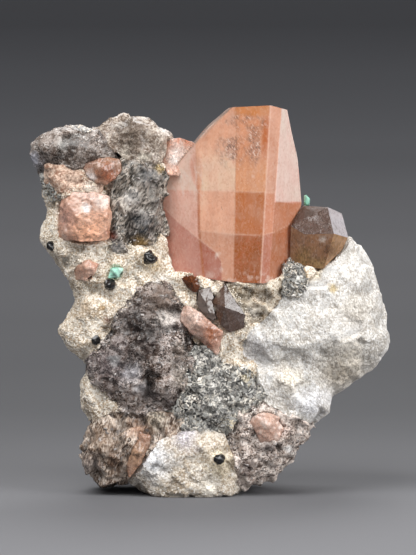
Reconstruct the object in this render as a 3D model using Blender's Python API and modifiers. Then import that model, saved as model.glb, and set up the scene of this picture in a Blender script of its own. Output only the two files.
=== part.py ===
"""Topaz specimen: a large sherry topaz on its loose piece of albite and feldspar rock.

Every crystal and every mass of rock is a solid of its own.  They grew against each other, so each
one is cut back by its neighbours and stands GAP clear of them.  Sizes are millimetres, turned into
metres by MM.  The origin is on the flat foot, X runs right, Y runs back and Z runs up.

Places are (x, y, height).  Heights are read by an eye in front of the stone, looking down by
VIEW_SLOPE, from the front edge of the foot.  So a place further back lies a little lower.
"""

import math

import bmesh
import bpy
from mathutils import Matrix, Vector

MM = 0.001

# Driving dimensions, in millimetres: the gap between pieces, the level of the flat foot, the depth
# of the foot's front edge, and the slope of the eye that reads the heights
GAP = 0.3
FOOT_CUT = 0.0
FOOT_FRONT = -10.0
VIEW_SLOPE = 0.087

# Rock masses: grid size, depth and size of the bumps, and how far a boulder spreads past its outline
ROCK_GRID = 1.1
ROCK_ROUGHNESS = 1.2
ROCK_BUMP_SIZE = 6.0
ROCK_SPREAD = 0.6

# A boulder's rings, from its front to its back: share of the depth, width beside the full outline
BOULDER_RINGS = ((0.0, 0.66), (0.06, 0.85), (0.17, 1.0), (0.5, 1.0), (0.86, 0.84), (1.0, 0.56))

# How far in front of a crystal the rock is cleared away
CLEAR_VIEW = 20.0

# The block that a faced crystal is ground out of, and a short prism's rings: share of the half
# length, share of the radius
BLOCK_SIZE = 120.0
PRISM_SIDES = 6
BLUNT_POINTS = ((-1.0, 0.45), (-0.55, 1.0), (0.55, 1.0), (1.0, 0.35))

# Mesh care: the longest corner step of a grown cutter, and the shortest edge that is kept
LONGEST_SHELL_STEP = 1.8
SMALLEST_EDGE = 0.02

OBJECT_NAME = "topaz_specimen"


def colour_material(name, colour, roughness):
    """Make a Principled material from a linear colour and a roughness."""
    material = bpy.data.materials.new(name)
    material.use_nodes = True
    shader = material.node_tree.nodes["Principled BSDF"]
    shader.inputs["Base Color"].default_value = (*colour, 1.0)
    shader.inputs["Roughness"].default_value = roughness
    shader.inputs["Metallic"].default_value = 0.0
    material.diffuse_color = (*colour, 1.0)
    return material


def place(x, y, height):
    """Turn a place read on the front of the stone into a point in metres."""
    return Vector((x, y, height - (y - FOOT_FRONT) * VIEW_SLOPE)) * MM


def new_object(name, mesh_builder, collection, material):
    """Put a bmesh into a named object of a collection, with its material."""
    mesh = bpy.data.meshes.new(name)
    mesh_builder.to_mesh(mesh)
    mesh_builder.free()
    solid = bpy.data.objects.new(name, mesh)
    collection.objects.link(solid)
    mesh.materials.append(material)
    return solid


def wrap_in_hull(builder, corners):
    """Wrap corners of a bmesh in their convex hull and drop those that end up inside it."""
    bmesh.ops.convex_hull(builder, input=corners)
    inner = [corner for corner in corners if corner.is_valid and not corner.link_faces]
    bmesh.ops.delete(builder, geom=inner, context="VERTS")


def add_hull(builder, points):
    """Add the convex hull of some places to a bmesh."""
    wrap_in_hull(builder, [builder.verts.new(place(*point)) for point in points])


def pebble(outline, front, back, crest=()):
    """Places of a rounded boulder: its outline round the waist, and narrower rings before and behind.

    outline holds (x, height) pairs, crest holds extra places that stand proud of it.
    """
    centre_x = sum(x for x, _ in outline) / len(outline)
    centre_h = sum(h for _, h in outline) / len(outline)
    points = list(crest)
    for share, width in BOULDER_RINGS:
        y = front + (back - front) * share
        for x, h in outline:
            across = Vector((x - centre_x, h - centre_h))
            across *= width + ROCK_SPREAD / across.length
            points.append((centre_x + across.x, y, centre_h + across.y))
    return points


def freeze(solid):
    """Replace an object's mesh by what its modifiers make of it."""
    graph = bpy.context.evaluated_depsgraph_get()
    graph.update()
    mesh = bpy.data.meshes.new_from_object(solid.evaluated_get(graph), depsgraph=graph)
    old = solid.data
    solid.modifiers.clear()
    solid.data = mesh
    mesh.name = solid.name
    bpy.data.meshes.remove(old)


def keep_largest_body(solid):
    """Weld hair-thin edges away, drop loose chips and keep the one large body."""
    builder = bmesh.new()
    builder.from_mesh(solid.data)
    bmesh.ops.remove_doubles(builder, verts=builder.verts, dist=SMALLEST_EDGE * MM)
    bmesh.ops.dissolve_degenerate(builder, edges=builder.edges, dist=SMALLEST_EDGE * MM)
    bodies = []
    seen = set()
    for start in builder.verts:
        if start in seen:
            continue
        body = []
        queue = [start]
        seen.add(start)
        while queue:
            corner = queue.pop()
            body.append(corner)
            for edge in corner.link_edges:
                other = edge.other_vert(corner)
                if other not in seen:
                    seen.add(other)
                    queue.append(other)
        bodies.append(body)
    bodies.sort(key=len, reverse=True)
    chips = [corner for body in bodies[1:] for corner in body]
    if chips:
        bmesh.ops.delete(builder, geom=chips, context="VERTS")
    bmesh.ops.triangulate(builder, faces=builder.faces)
    builder.to_mesh(solid.data)
    builder.free()


def cut_below(solid, height):
    """Cut a solid off flat at a height and close the cut."""
    builder = bmesh.new()
    builder.from_mesh(solid.data)
    if min(corner.co.z for corner in builder.verts) < height * MM:
        geometry = list(builder.verts) + list(builder.edges) + list(builder.faces)
        bmesh.ops.bisect_plane(
            builder, geom=geometry, plane_co=(0, 0, height * MM), plane_no=(0, 0, -1), clear_outer=True)
        rim = [edge for edge in builder.edges if edge.is_boundary]
        bmesh.ops.holes_fill(builder, edges=rim)
    builder.to_mesh(solid.data)
    builder.free()


def grown_copy(solid, collection):
    """Copy a solid with every face moved out by the gap, to cut its neighbours with."""
    builder = bmesh.new()
    builder.from_mesh(solid.data)
    builder.normal_update()
    moves = []
    for corner in builder.verts:
        reach = min(corner.calc_shell_factor(), LONGEST_SHELL_STEP)
        moves.append((corner, corner.normal * GAP * MM * reach))
    for corner, move in moves:
        corner.co += move
    cutter = new_object("cutter_" + solid.name, builder, collection, solid.data.materials[0])
    cutter.hide_render = True
    cutter.display_type = "WIRE"
    return cutter


def swept_copy(cutter, collection):
    """Stretch a crystal's cutter towards the eye, so that no rock stays in front of the crystal."""
    builder = bmesh.new()
    builder.from_mesh(cutter.data)
    toward_eye = Vector((0, -CLEAR_VIEW, CLEAR_VIEW * VIEW_SLOPE)) * MM
    for corner in list(builder.verts):
        builder.verts.new(corner.co + toward_eye)
    bmesh.ops.delete(builder, geom=list(builder.faces), context="FACES_ONLY")
    bmesh.ops.delete(builder, geom=list(builder.edges), context="EDGES_FACES")
    wrap_in_hull(builder, list(builder.verts))
    bmesh.ops.recalc_face_normals(builder, faces=builder.faces)
    sweep = new_object(cutter.name + "_sweep", builder, collection, cutter.data.materials[0])
    sweep.hide_render = True
    sweep.display_type = "WIRE"
    return sweep


def boxes_meet(first, second):
    """Say whether two objects' boxes overlap."""
    for axis in range(3):
        low_a = min(corner.co[axis] for corner in first.data.vertices)
        high_a = max(corner.co[axis] for corner in first.data.vertices)
        low_b = min(corner.co[axis] for corner in second.data.vertices)
        high_b = max(corner.co[axis] for corner in second.data.vertices)
        if high_a < low_b or high_b < low_a:
            return False
    return True


def cut_by(solid, cutters):
    """Take every neighbour that reaches into a solid out of it."""
    for cutter in cutters:
        if boxes_meet(solid, cutter):
            cut = solid.modifiers.new("pocket_" + cutter.name, "BOOLEAN")
            cut.operation = "DIFFERENCE"
            cut.object = cutter
    if solid.modifiers:
        freeze(solid)
        keep_largest_body(solid)


def crystal(name, points, collection, material):
    """A crystal bounded by the flat faces of a convex hull."""
    builder = bmesh.new()
    add_hull(builder, points)
    bmesh.ops.recalc_face_normals(builder, faces=builder.faces)
    return new_object(name, builder, collection, material)


def faced_crystal(name, faces, collection, material):
    """A crystal ground out of a block, one flat face after another.

    Each face is given by three places on it, and the crystal keeps the side where the middle of all
    those places lies.
    """
    middle = Vector()
    for corners in faces:
        for corner in corners:
            middle += place(*corner) / (3 * len(faces))
    builder = bmesh.new()
    bmesh.ops.create_cube(builder, size=BLOCK_SIZE * MM, matrix=Matrix.Translation(middle))
    for corners in faces:
        first, second, third = (place(*corner) for corner in corners)
        outward = (second - first).cross(third - first).normalized()
        if outward.dot(middle - first) > 0:
            outward.negate()
        geometry = list(builder.verts) + list(builder.edges) + list(builder.faces)
        bmesh.ops.bisect_plane(
            builder, geom=geometry, plane_co=first, plane_no=outward, clear_outer=True,
            dist=SMALLEST_EDGE * MM / 2)
        rim = [edge for edge in builder.edges if edge.is_boundary]
        bmesh.ops.holes_fill(builder, edges=rim)
    bmesh.ops.remove_doubles(builder, verts=builder.verts, dist=SMALLEST_EDGE * MM)
    bmesh.ops.triangulate(builder, faces=builder.faces)
    bmesh.ops.recalc_face_normals(builder, faces=builder.faces)
    return new_object(name, builder, collection, material)


def six_sided_crystal(name, centre, radius, length, lean, turn, collection, material):
    """A short six-sided prism with blunt points, leaning by a number of degrees."""
    builder = bmesh.new()
    frame = (
        Matrix.Translation(place(*centre))
        @ Matrix.Rotation(math.radians(turn), 4, "Z")
        @ Matrix.Rotation(math.radians(lean), 4, "Y"))
    for share, width in BLUNT_POINTS:
        for side in range(PRISM_SIDES):
            angle = math.tau * side / PRISM_SIDES
            out = Vector((math.cos(angle), math.sin(angle), 0)) * radius * width
            builder.verts.new(frame @ ((out + Vector((0, 0, length / 2 * share))) * MM))
    wrap_in_hull(builder, list(builder.verts))
    bmesh.ops.recalc_face_normals(builder, faces=builder.faces)
    return new_object(name, builder, collection, material)


def rock(name, boulders, triangles, collection, material, roughness, grid):
    """A rough mass of rock: overlapping boulders fused, roughened and thinned to a triangle count."""
    builder = bmesh.new()
    for points in boulders:
        add_hull(builder, points)
    bmesh.ops.recalc_face_normals(builder, faces=builder.faces)
    solid = new_object(name, builder, collection, material)
    fuse = solid.modifiers.new("fuse", "REMESH")
    fuse.mode = "VOXEL"
    fuse.voxel_size = grid * MM
    bumps = bpy.data.textures.new(name + "_bumps", "CLOUDS")
    bumps.noise_scale = ROCK_BUMP_SIZE * MM
    bumps.noise_depth = 1
    roughen = solid.modifiers.new("roughen", "DISPLACE")
    roughen.texture = bumps
    roughen.texture_coords = "LOCAL"
    roughen.strength = roughness * MM
    roughen.mid_level = 0.5
    freeze(solid)
    faces = sum(len(face.vertices) - 2 for face in solid.data.polygons)
    thin = solid.modifiers.new("thin", "DECIMATE")
    thin.ratio = min(1.0, triangles / faces)
    thin.use_collapse_triangulate = True
    freeze(solid)
    return solid


# The two large crystals, as faces through three places (x, y, height) each

TOPAZ_MAIN = [
    # the faces seen from the front, from left to right
    [(-8.6, -3.4, 63.0), (-9.4, -2.9, 76.0), (0.9, -9.2, 54.9)],
    [(0.9, -9.2, 54.9), (8.45, -11.7, 54.0), (-0.4, -8.4, 76.5)],
    [(8.45, -11.7, 54.0), (15.05, -12.4, 54.0), (8.85, -11.45, 76.5)],
    [(15.05, -12.4, 54.0), (17.4, -12.1, 97.4), (17.1, -11.2, 54.0)],
    [(18.9, -10.6, 74.0), (25.4, -2.2, 73.6), (20.2, -10.4, 96.8)],
    [(18.9, -10.6, 74.0), (25.4, -2.2, 73.6), (17.1, -11.2, 54.0)],
    # the left side, its shoulder and the long slope up to the top
    [(-6.9, -4.0, 56.0), (-8.7, -4.0, 63.0), (-7.0, 8.0, 60.0)],
    [(-8.7, -3.0, 63.0), (-9.6, -3.0, 73.5), (-8.4, 6.0, 69.0)],
    [(-9.6, -3.0, 73.5), (-9.3, -3.0, 77.5), (-8.8, 6.0, 75.5)],
    [(-9.3, -3.0, 77.5), (-7.4, -3.0, 81.3), (-7.6, 6.0, 79.6)],
    [(-7.3, -3.0, 81.2), (2.2, -8.0, 92.3), (-3.4, 8.0, 86.7)],
    [(2.2, -8.0, 92.3), (8.0, -10.0, 97.1), (3.9, 8.0, 94.8)],
    # the top, and the right side below it
    [(8.0, -10.0, 97.2), (17.4, -11.0, 97.6), (12.0, 8.0, 97.7)],
    [(17.4, -11.0, 97.6), (21.6, -8.5, 96.6), (18.0, 6.0, 97.4)],
    [(21.6, -8.5, 96.6), (24.2, -5.0, 85.0), (21.8, 8.0, 91.0)],
    [(24.2, -4.0, 85.0), (25.4, -2.5, 73.5), (24.0, 8.0, 79.0)],
    [(25.4, -2.5, 73.5), (22.3, -5.5, 60.0), (22.8, 8.0, 67.0)],
    [(22.3, -5.5, 60.0), (19.6, -8.0, 54.8), (20.4, 6.0, 58.0)],
    # the foot
    [(19.6, -8.0, 54.8), (16.0, -12.0, 53.4), (18.0, 6.0, 54.6)],
    [(16.0, -12.0, 53.4), (8.4, -11.7, 53.7), (12.0, 6.0, 53.9)],
    [(8.4, -11.7, 53.7), (0.8, -9.2, 54.7), (4.0, 6.0, 54.6)],
    [(0.8, -9.2, 54.7), (-6.7, -4.4, 55.8), (-2.0, 6.0, 55.4)],
    # the back
    [(25.0, 6.0, 74.0), (14.0, 14.5, 74.0), (24.0, 6.0, 60.0)],
    [(14.0, 14.5, 74.0), (-2.0, 13.0, 74.0), (12.0, 13.5, 58.0)],
    [(-2.0, 13.0, 74.0), (-9.3, 5.0, 74.0), (-2.0, 12.0, 60.0)],
    [(12.0, 14.3, 80.0), (2.0, 9.0, 92.0), (18.0, 8.0, 95.0)],
]

SMOKY_RIGHT = [
    # the blunt point: its middle, its dark upper left and its light right face
    [(22.6, -7.0, 67.7), (31.7, -8.0, 72.4), (33.2, -11.0, 65.8)],
    [(25.3, -2.0, 72.9), (31.7, -8.0, 72.4), (22.6, -7.0, 67.7)],
    [(31.7, -8.0, 72.4), (35.3, -4.0, 70.9), (33.2, -11.0, 65.8)],
    # the prism under it
    [(22.6, -7.0, 67.7), (26.0, -8.86, 65.6), (24.2, -7.0, 58.0)],
    [(26.0, -8.86, 65.6), (33.2, -11.0, 65.8), (28.6, -8.6, 57.5)],
    [(33.2, -11.0, 65.8), (36.9, -6.6, 65.0), (31.6, -8.6, 57.5)],
    # its sides, top, back and foot
    [(35.3, -4.0, 70.9), (36.9, -6.6, 65.0), (35.6, 4.0, 68.0)],
    [(36.9, -6.6, 65.0), (35.2, -6.0, 61.6), (34.8, 4.0, 63.0)],
    [(35.2, -6.0, 61.6), (30.5, -9.5, 57.0), (32.0, 4.0, 58.0)],
    [(31.7, -8.0, 72.4), (35.3, -4.0, 70.9), (30.0, 4.0, 72.0)],
    [(25.3, -2.0, 72.9), (31.7, -8.0, 72.4), (29.0, 4.0, 72.4)],
    [(22.6, -7.0, 67.7), (22.4, -6.0, 60.0), (23.2, 3.0, 64.0)],
    [(25.3, -2.0, 72.9), (22.6, -7.0, 67.7), (24.4, 3.0, 70.0)],
    [(26.0, 3.6, 70.0), (34.0, 3.6, 69.0), (30.0, 3.0, 60.0)],
    [(30.5, -9.5, 57.0), (24.5, -7.0, 58.0), (28.0, 3.0, 57.0)],
]

# The smaller crystals, as (x, y, height) corners read off their faces

TOPAZ_UPPER_LEFT = [
    (-9.2, -3.0, 88.7), (-7.3, -4.0, 89.5), (-5.0, -3.0, 89.8), (-1.5, 0.0, 88.6), (1.0, 3.0, 86.0),
    (-1.0, -5.4, 80.0), (-8.0, -6.5, 80.5), (-9.6, -5.0, 84.0), (-6.0, 6.0, 88.0), (0.0, 8.0, 84.0),
    (-8.0, 6.0, 82.0), (-4.0, 6.0, 78.0),
]

TOPAZ_TABULAR = [
    (-29.0, -10.0, 81.7), (-28.3, -10.0, 83.6), (-24.0, -10.6, 84.9), (-20.0, -10.0, 84.4),
    (-19.2, -10.0, 81.7), (-21.0, -11.0, 79.3), (-23.5, -11.4, 77.7), (-26.0, -11.2, 78.3),
    (-24.0, -12.6, 82.0), (-27.0, -3.0, 83.0), (-21.0, -3.0, 83.0), (-24.0, -3.0, 79.0),
]

TOPAZ_BLOCK = [
    (-35.4, -8.0, 68.0), (-34.5, -9.0, 74.6), (-31.0, -10.0, 76.3), (-26.0, -11.0, 76.2),
    (-22.3, -10.5, 75.0), (-22.0, -11.0, 70.0), (-22.6, -12.0, 64.4), (-35.0, -8.0, 64.6),
    (-30.0, -13.2, 69.4), (-23.2, -13.4, 69.4), (-23.4, -13.0, 63.9), (-29.8, -12.8, 63.6),
    (-33.5, -11.0, 66.0), (-33.0, -11.2, 73.5), (-26.0, -12.2, 74.6), (-34.0, -2.0, 72.0),
    (-24.0, -2.0, 74.0), (-24.0, -2.0, 65.0), (-33.0, -2.0, 66.0),
]

TOPAZ_LEFT_SMALL = [
    (-31.7, -7.0, 56.8), (-29.5, -10.2, 58.8), (-27.5, -11.0, 59.4), (-25.1, -11.0, 58.2),
    (-26.5, -11.2, 55.5), (-28.5, -10.8, 53.9), (-31.0, -7.4, 54.2), (-28.5, -12.2, 57.0),
    (-30.0, -3.0, 57.0), (-26.5, -3.0, 57.5), (-28.0, -3.0, 55.0),
]

TOPAZ_CENTRE = [
    (-4.7, -11.4, 47.6), (-3.0, -11.8, 48.1), (0.0, -12.2, 46.3), (3.2, -12.0, 43.6),
    (5.6, -11.4, 41.3), (5.1, -11.0, 37.8), (4.4, -10.8, 35.2), (1.0, -11.4, 38.0), (-2.0, -12.0, 40.8),
    (-4.8, -11.6, 44.0), (0.0, -14.0, 43.0), (-3.0, -4.0, 45.0), (3.0, -4.0, 41.0), (3.0, -4.0, 38.0),
]

TOPAZ_LOWER_RIGHT = [
    (12.6, -10.6, 18.6), (13.3, -11.0, 20.3), (16.0, -11.5, 21.5), (19.5, -11.0, 20.2),
    (20.7, -10.4, 17.0), (19.2, -11.2, 14.2), (15.0, -11.6, 13.6), (14.3, -11.6, 16.0),
    (16.5, -13.6, 18.0), (14.0, -3.0, 19.0), (19.0, -3.0, 18.0), (16.0, -3.0, 15.0),
]

TOPAZ_LOWER_LEFT = [
    (-15.2, -10.6, 16.6), (-12.2, -10.6, 15.3), (-12.6, -11.0, 12.0), (-15.5, -11.0, 7.0),
    (-17.8, -10.6, 4.9), (-18.4, -10.4, 7.5), (-17.0, -11.4, 12.0), (-15.0, -12.8, 11.0),
    (-14.0, -3.0, 15.0), (-17.0, -3.0, 7.0),
]

SMOKY_FOOT = [
    (6.0, -10.6, 53.4), (3.0, -11.0, 48.7), (8.3, -11.2, 50.0), (10.0, -11.0, 47.0),
    (11.4, -10.6, 45.5), (11.0, -10.4, 42.3), (7.5, -11.4, 41.2), (5.0, -11.6, 43.0),
    (6.2, -13.2, 47.5), (5.0, -3.0, 50.0), (10.0, -3.0, 46.0), (7.0, -3.0, 42.0),
]

SMOKY_FOOT_LEFT = [
    (-0.3, -10.6, 51.6), (2.6, -10.6, 52.6), (3.6, -11.0, 49.0), (4.4, -11.2, 45.0),
    (3.0, -11.6, 44.0), (0.0, -11.6, 46.5), (-0.8, -11.2, 48.5), (1.5, -12.4, 48.5), (0.0, -3.0, 50.0),
    (3.0, -3.0, 46.0),
]

SMOKY_RED_BROWN = [
    (-4.6, -10.6, 54.6), (-3.0, -11.0, 55.4), (-0.9, -10.8, 54.9), (0.1, -11.0, 52.6),
    (-0.9, -11.0, 51.1), (-2.4, -11.0, 51.6), (-2.0, -12.2, 53.5), (-3.0, -4.0, 54.0),
    (-1.0, -4.0, 52.5),
]

FLUORITE_LEFT = [
    (-22.7, -11.2, 54.7), (-22.2, -11.6, 57.2), (-20.0, -11.6, 57.5), (-19.1, -11.0, 56.9),
    (-20.2, -11.6, 54.9), (-21.2, -12.6, 56.2), (-22.4, -6.5, 55.0), (-21.8, -6.5, 57.4),
    (-19.4, -6.5, 57.2), (-20.2, -6.5, 55.0),
]

FLUORITE_RIGHT = [
    (25.7, 0.0, 71.5), (25.8, 0.0, 75.6), (26.6, -1.5, 75.6), (27.3, -1.0, 74.6), (27.5, 0.5, 72.0),
    (26.2, 4.0, 72.0), (26.4, 4.0, 75.2), (27.2, 3.5, 74.2),
]

MICA_SHEAF = [
    (-40.2, -3.0, 80.6), (-38.2, -6.0, 80.2), (-35.0, -8.6, 76.4), (-33.2, -9.6, 73.5),
    (-36.6, -6.6, 75.0), (-39.0, -3.0, 77.3), (-38.0, 1.0, 79.0), (-34.5, 0.0, 75.0),
]

# Small black crystals: centre, radius, length, lean and turn in degrees

BLACK_CRYSTALS = {
    "black_crystal_left_edge": ((-36.9, -7.4, 62.8), 1.0, 2.6, 50.0, 200.0),
    "black_crystal_middle": ((-12.6, -11.0, 60.0), 1.6, 3.6, 80.0, 70.0),
    "black_crystal_by_fluorite": ((-22.3, -11.0, 53.2), 1.35, 2.8, 35.0, 100.0),
    "black_crystal_lower": ((-25.8, -10.0, 39.2), 1.1, 2.4, 60.0, 30.0),
    "black_crystal_foot": ((4.6, -13.0, 9.4), 1.3, 2.6, 65.0, 150.0),
}

# Masses of rock, as boulders with an outline of (x, height) pairs, a front depth, a back depth
# and, where the front stands proud, some crest places

QUARTZ_UPPER_LEFT = [
    pebble([(-41.6, 88.2), (-38.0, 90.3), (-34.0, 91.7), (-30.0, 91.7), (-26.5, 90.8), (-20.0, 86.0),
            (-20.0, 82.0), (-31.0, 81.6), (-38.0, 83.3), (-41.8, 85.8)], -9.5, 15.0,
           [(-33.0, -10.8, 87.0), (-26.0, -10.6, 86.6)]),
    pebble([(-41.8, 85.8), (-41.6, 88.2), (-37.0, 86.0), (-36.5, 80.0), (-39.3, 80.6)], -5.5, 8.0),
]

QUARTZ_TOP = [
    pebble([(-26.5, 90.6), (-22.0, 93.6), (-18.0, 94.5), (-14.0, 93.8), (-10.0, 91.6), (-7.6, 89.0),
            (-8.0, 84.0), (-13.0, 83.0), (-19.0, 83.6), (-24.0, 86.6)], -8.4, 16.0, [(-17.0, -9.4, 88.5)]),
]

QUARTZ_COLUMN = [
    pebble([(-20.0, 85.0), (-13.8, 85.0), (-8.2, 80.0), (-8.2, 69.0), (-11.0, 63.0), (-20.6, 60.0),
            (-23.2, 62.5), (-22.9, 70.0), (-22.8, 77.0)], -9.6, 9.0,
           [(-16.0, -10.6, 80.0), (-15.0, -10.8, 69.0)]),
]

QUARTZ_MASS = [
    pebble([(-15.5, 51.8), (-12.0, 53.0), (-8.0, 52.4), (-4.6, 48.0), (-4.6, 42.0), (-19.0, 42.0),
            (-19.0, 46.5)], -11.0, 6.0, [(-11.0, -12.4, 46.5)]),
    pebble([(-19.0, 46.4), (-12.0, 48.0), (-2.0, 41.0), (-2.4, 31.0), (-7.0, 22.6), (-18.0, 22.0),
            (-24.8, 29.2), (-27.0, 31.8), (-26.8, 34.0), (-22.6, 40.8)], -12.0, 6.0,
           [(-16.0, -14.0, 41.0), (-10.0, -13.8, 32.0), (-20.0, -12.4, 33.0)]),
]

QUARTZ_LOWER_LEFT = [
    pebble([(-26.5, 18.2), (-21.0, 22.2), (-10.0, 22.4), (-2.0, 21.4), (-3.0, 15.0), (-12.0, 9.0),
            (-18.5, 4.4), (-24.0, 3.4), (-29.1, 9.2), (-28.0, 14.0)], -9.6, 15.0,
           [(-22.0, -11.2, 13.5), (-14.0, -11.0, 18.0)]),
]

QUARTZ_LOWER_RIGHT = [
    pebble([(4.6, 11.5), (7.6, 22.5), (13.0, 25.0), (20.0, 22.8), (27.2, 19.8), (26.4, 16.4),
            (21.0, 9.2), (18.0, 5.9), (12.0, 3.7), (8.6, 3.4)], -9.6, 16.0,
           [(16.0, -11.4, 10.5), (11.0, -11.0, 19.0)]),
]

QUARTZ_VEIN = [
    pebble([(6.6, 54.5), (16.0, 56.0), (20.5, 56.0), (18.8, 49.0), (15.5, 44.5), (10.5, 43.0)], -11.4, 2.0),
]

MICA_PATCH = [
    pebble([(-5.0, 33.0), (-1.0, 38.0), (2.6, 37.6), (4.8, 33.0), (4.0, 26.0), (-5.0, 24.0)], -11.0, 2.0),
    pebble([(-8.0, 22.0), (0.0, 30.0), (8.0, 33.0), (13.0, 29.6), (16.2, 25.5), (10.0, 21.6),
            (7.0, 16.4), (-3.0, 16.6)], -10.8, 2.0),
]

MICA_PATCH_RIGHT = [
    pebble([(19.6, 57.0), (22.0, 58.4), (25.0, 56.8), (26.2, 53.0), (24.6, 50.0), (21.0, 51.0)], -10.0, 0.0),
]

FELDSPAR_PEACH = [
    pebble([(-38.2, 83.0), (-31.0, 82.2), (-27.0, 81.0), (-24.5, 77.0), (-26.0, 74.5), (-34.0, 74.5),
            (-36.8, 77.0)], -10.0, 2.0),
]

FELDSPAR_BLOCK = [
    pebble([(37.4, 63.8), (33.0, 60.5), (26.0, 55.6), (19.0, 51.6), (13.0, 44.0), (8.6, 38.0),
            (10.6, 31.0), (24.0, 27.4), (34.5, 27.2), (39.3, 31.1), (43.0, 33.0), (46.1, 37.4),
            (45.8, 43.0), (44.2, 51.0), (41.3, 59.8)], -8.6, 25.0,
           [(11.5, -10.4, 38.6), (20.0, -12.2, 40.0), (31.0, -11.8, 39.2), (42.0, -7.4, 37.4),
            (21.0, -10.8, 48.0), (34.0, -6.6, 58.0)]),
    pebble([(13.4, 33.0), (29.0, 34.0), (31.3, 27.0), (31.9, 21.8), (28.4, 18.6), (20.0, 19.2),
            (14.6, 24.0)], -9.6, 18.0, [(22.0, -11.2, 28.0)]),
]

FELDSPAR_FOOT = [
    pebble([(-17.0, 5.0), (-13.6, 11.0), (-11.4, 14.4), (-3.0, 18.2), (5.0, 17.8), (9.4, 12.0),
            (9.6, 3.0), (8.6, -3.0), (-10.4, -3.0), (-13.0, 2.0)], -12.0, 28.0,
           [(-7.0, -13.6, 10.5), (2.0, -13.2, 12.0)]),
]

ALBITE_CAP = [
    pebble([(-32.0, 91.4), (-31.4, 92.3), (-29.6, 92.3), (-27.0, 91.2), (-27.2, 90.0), (-30.4, 90.6)],
           -7.0, 2.0),
]

ALBITE_MATRIX = [
    # the left shoulder under the block of topaz
    pebble([(-39.3, 66.0), (-37.8, 68.8), (-33.0, 71.0), (-22.0, 70.0), (-12.0, 63.0), (-7.0, 54.0),
            (-20.0, 49.0), (-29.0, 50.0), (-31.6, 57.0), (-38.0, 62.8)], -9.6, 18.0),
    # the left bulge
    pebble([(-34.6, 41.8), (-31.5, 45.6), (-28.2, 51.0), (-18.0, 56.0), (-6.0, 55.0), (-15.0, 36.0),
            (-27.4, 34.6), (-31.4, 36.6)], -10.0, 16.0),
    # the small bulge over the lower left quartz
    pebble([(-29.7, 25.0), (-28.4, 29.6), (-26.0, 33.0), (-16.0, 32.0), (-16.0, 20.0), (-26.0, 19.4),
            (-28.4, 22.0)], -8.4, 13.0),
    # the core behind the crystals
    pebble([(-26.0, 62.0), (-22.0, 74.0), (-12.0, 76.0), (-2.0, 66.0), (21.0, 64.0), (29.0, 54.0),
            (30.0, 28.0), (22.0, 13.0), (9.0, 8.0), (-11.0, 8.0), (-22.0, 14.0), (-27.0, 36.0)],
           -8.0, 29.0, [(3.0, 31.0, 42.0), (-12.0, 29.0, 60.0)]),
    # the upper left, behind the smoky quartz
    pebble([(-38.6, 78.0), (-36.0, 87.0), (-26.0, 90.0), (-12.0, 90.0), (-8.0, 84.0), (-8.2, 62.0),
            (-24.0, 58.0), (-36.0, 66.0)], -8.0, 22.0),
    # the bed under the topaz and the smoky quartz on the right
    pebble([(-6.0, 60.0), (10.0, 61.0), (24.0, 65.0), (31.0, 66.0), (36.0, 63.0), (31.0, 54.0),
            (20.0, 46.0), (0.0, 44.0), (-8.0, 50.0)], -8.6, 24.0),
    # what shows between the crystals of the middle
    pebble([(-9.0, 58.0), (20.0, 57.0), (20.0, 48.0), (14.0, 38.0), (4.0, 34.0), (-6.0, 40.0)], -9.6, 8.0),
    # what shows round the mica
    pebble([(-20.0, 26.0), (-4.0, 38.0), (10.0, 38.0), (16.0, 32.0), (16.0, 20.0), (8.0, 13.0),
            (-14.0, 13.0)], -9.4, 8.0),
]


# Materials: linear colour and roughness

MATERIALS = {
    "topaz": ((0.62, 0.31, 0.20), 0.12),
    "smoky_quartz": ((0.13, 0.10, 0.085), 0.2),
    "smoky_quartz_mass": ((0.17, 0.14, 0.12), 0.4),
    "feldspar": ((0.72, 0.69, 0.65), 0.6),
    "peach_feldspar": ((0.66, 0.46, 0.35), 0.6),
    "albite": ((0.74, 0.67, 0.56), 0.75),
    "mica": ((0.24, 0.24, 0.22), 0.35),
    "fluorite": ((0.16, 0.60, 0.40), 0.15),
    "black_tourmaline": ((0.012, 0.013, 0.015), 0.25),
}

# Large crystals in the order in which they grew: faces and material

FACED_CRYSTALS = {
    "topaz_main": (TOPAZ_MAIN, "topaz"),
    "smoky_quartz_right": (SMOKY_RIGHT, "smoky_quartz"),
}

# Smaller crystals in the order in which they grew: corners and material

SMALL_CRYSTALS = {
    "topaz_upper_left": (TOPAZ_UPPER_LEFT, "topaz"),
    "topaz_tabular": (TOPAZ_TABULAR, "topaz"),
    "topaz_block": (TOPAZ_BLOCK, "topaz"),
    "topaz_left_small": (TOPAZ_LEFT_SMALL, "topaz"),
    "topaz_centre": (TOPAZ_CENTRE, "topaz"),
    "topaz_lower_right": (TOPAZ_LOWER_RIGHT, "topaz"),
    "topaz_lower_left": (TOPAZ_LOWER_LEFT, "topaz"),
    "smoky_quartz_foot": (SMOKY_FOOT, "smoky_quartz"),
    "smoky_quartz_foot_left": (SMOKY_FOOT_LEFT, "smoky_quartz"),
    "smoky_quartz_red_brown": (SMOKY_RED_BROWN, "smoky_quartz"),
    "fluorite_left": (FLUORITE_LEFT, "fluorite"),
    "fluorite_right": (FLUORITE_RIGHT, "fluorite"),
    "mica_sheaf": (MICA_SHEAF, "mica"),
}

# Masses of rock in the order in which they settled: boulders, material, triangles that are kept
# before the mass is cut by its neighbours, roughness and grid

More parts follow.
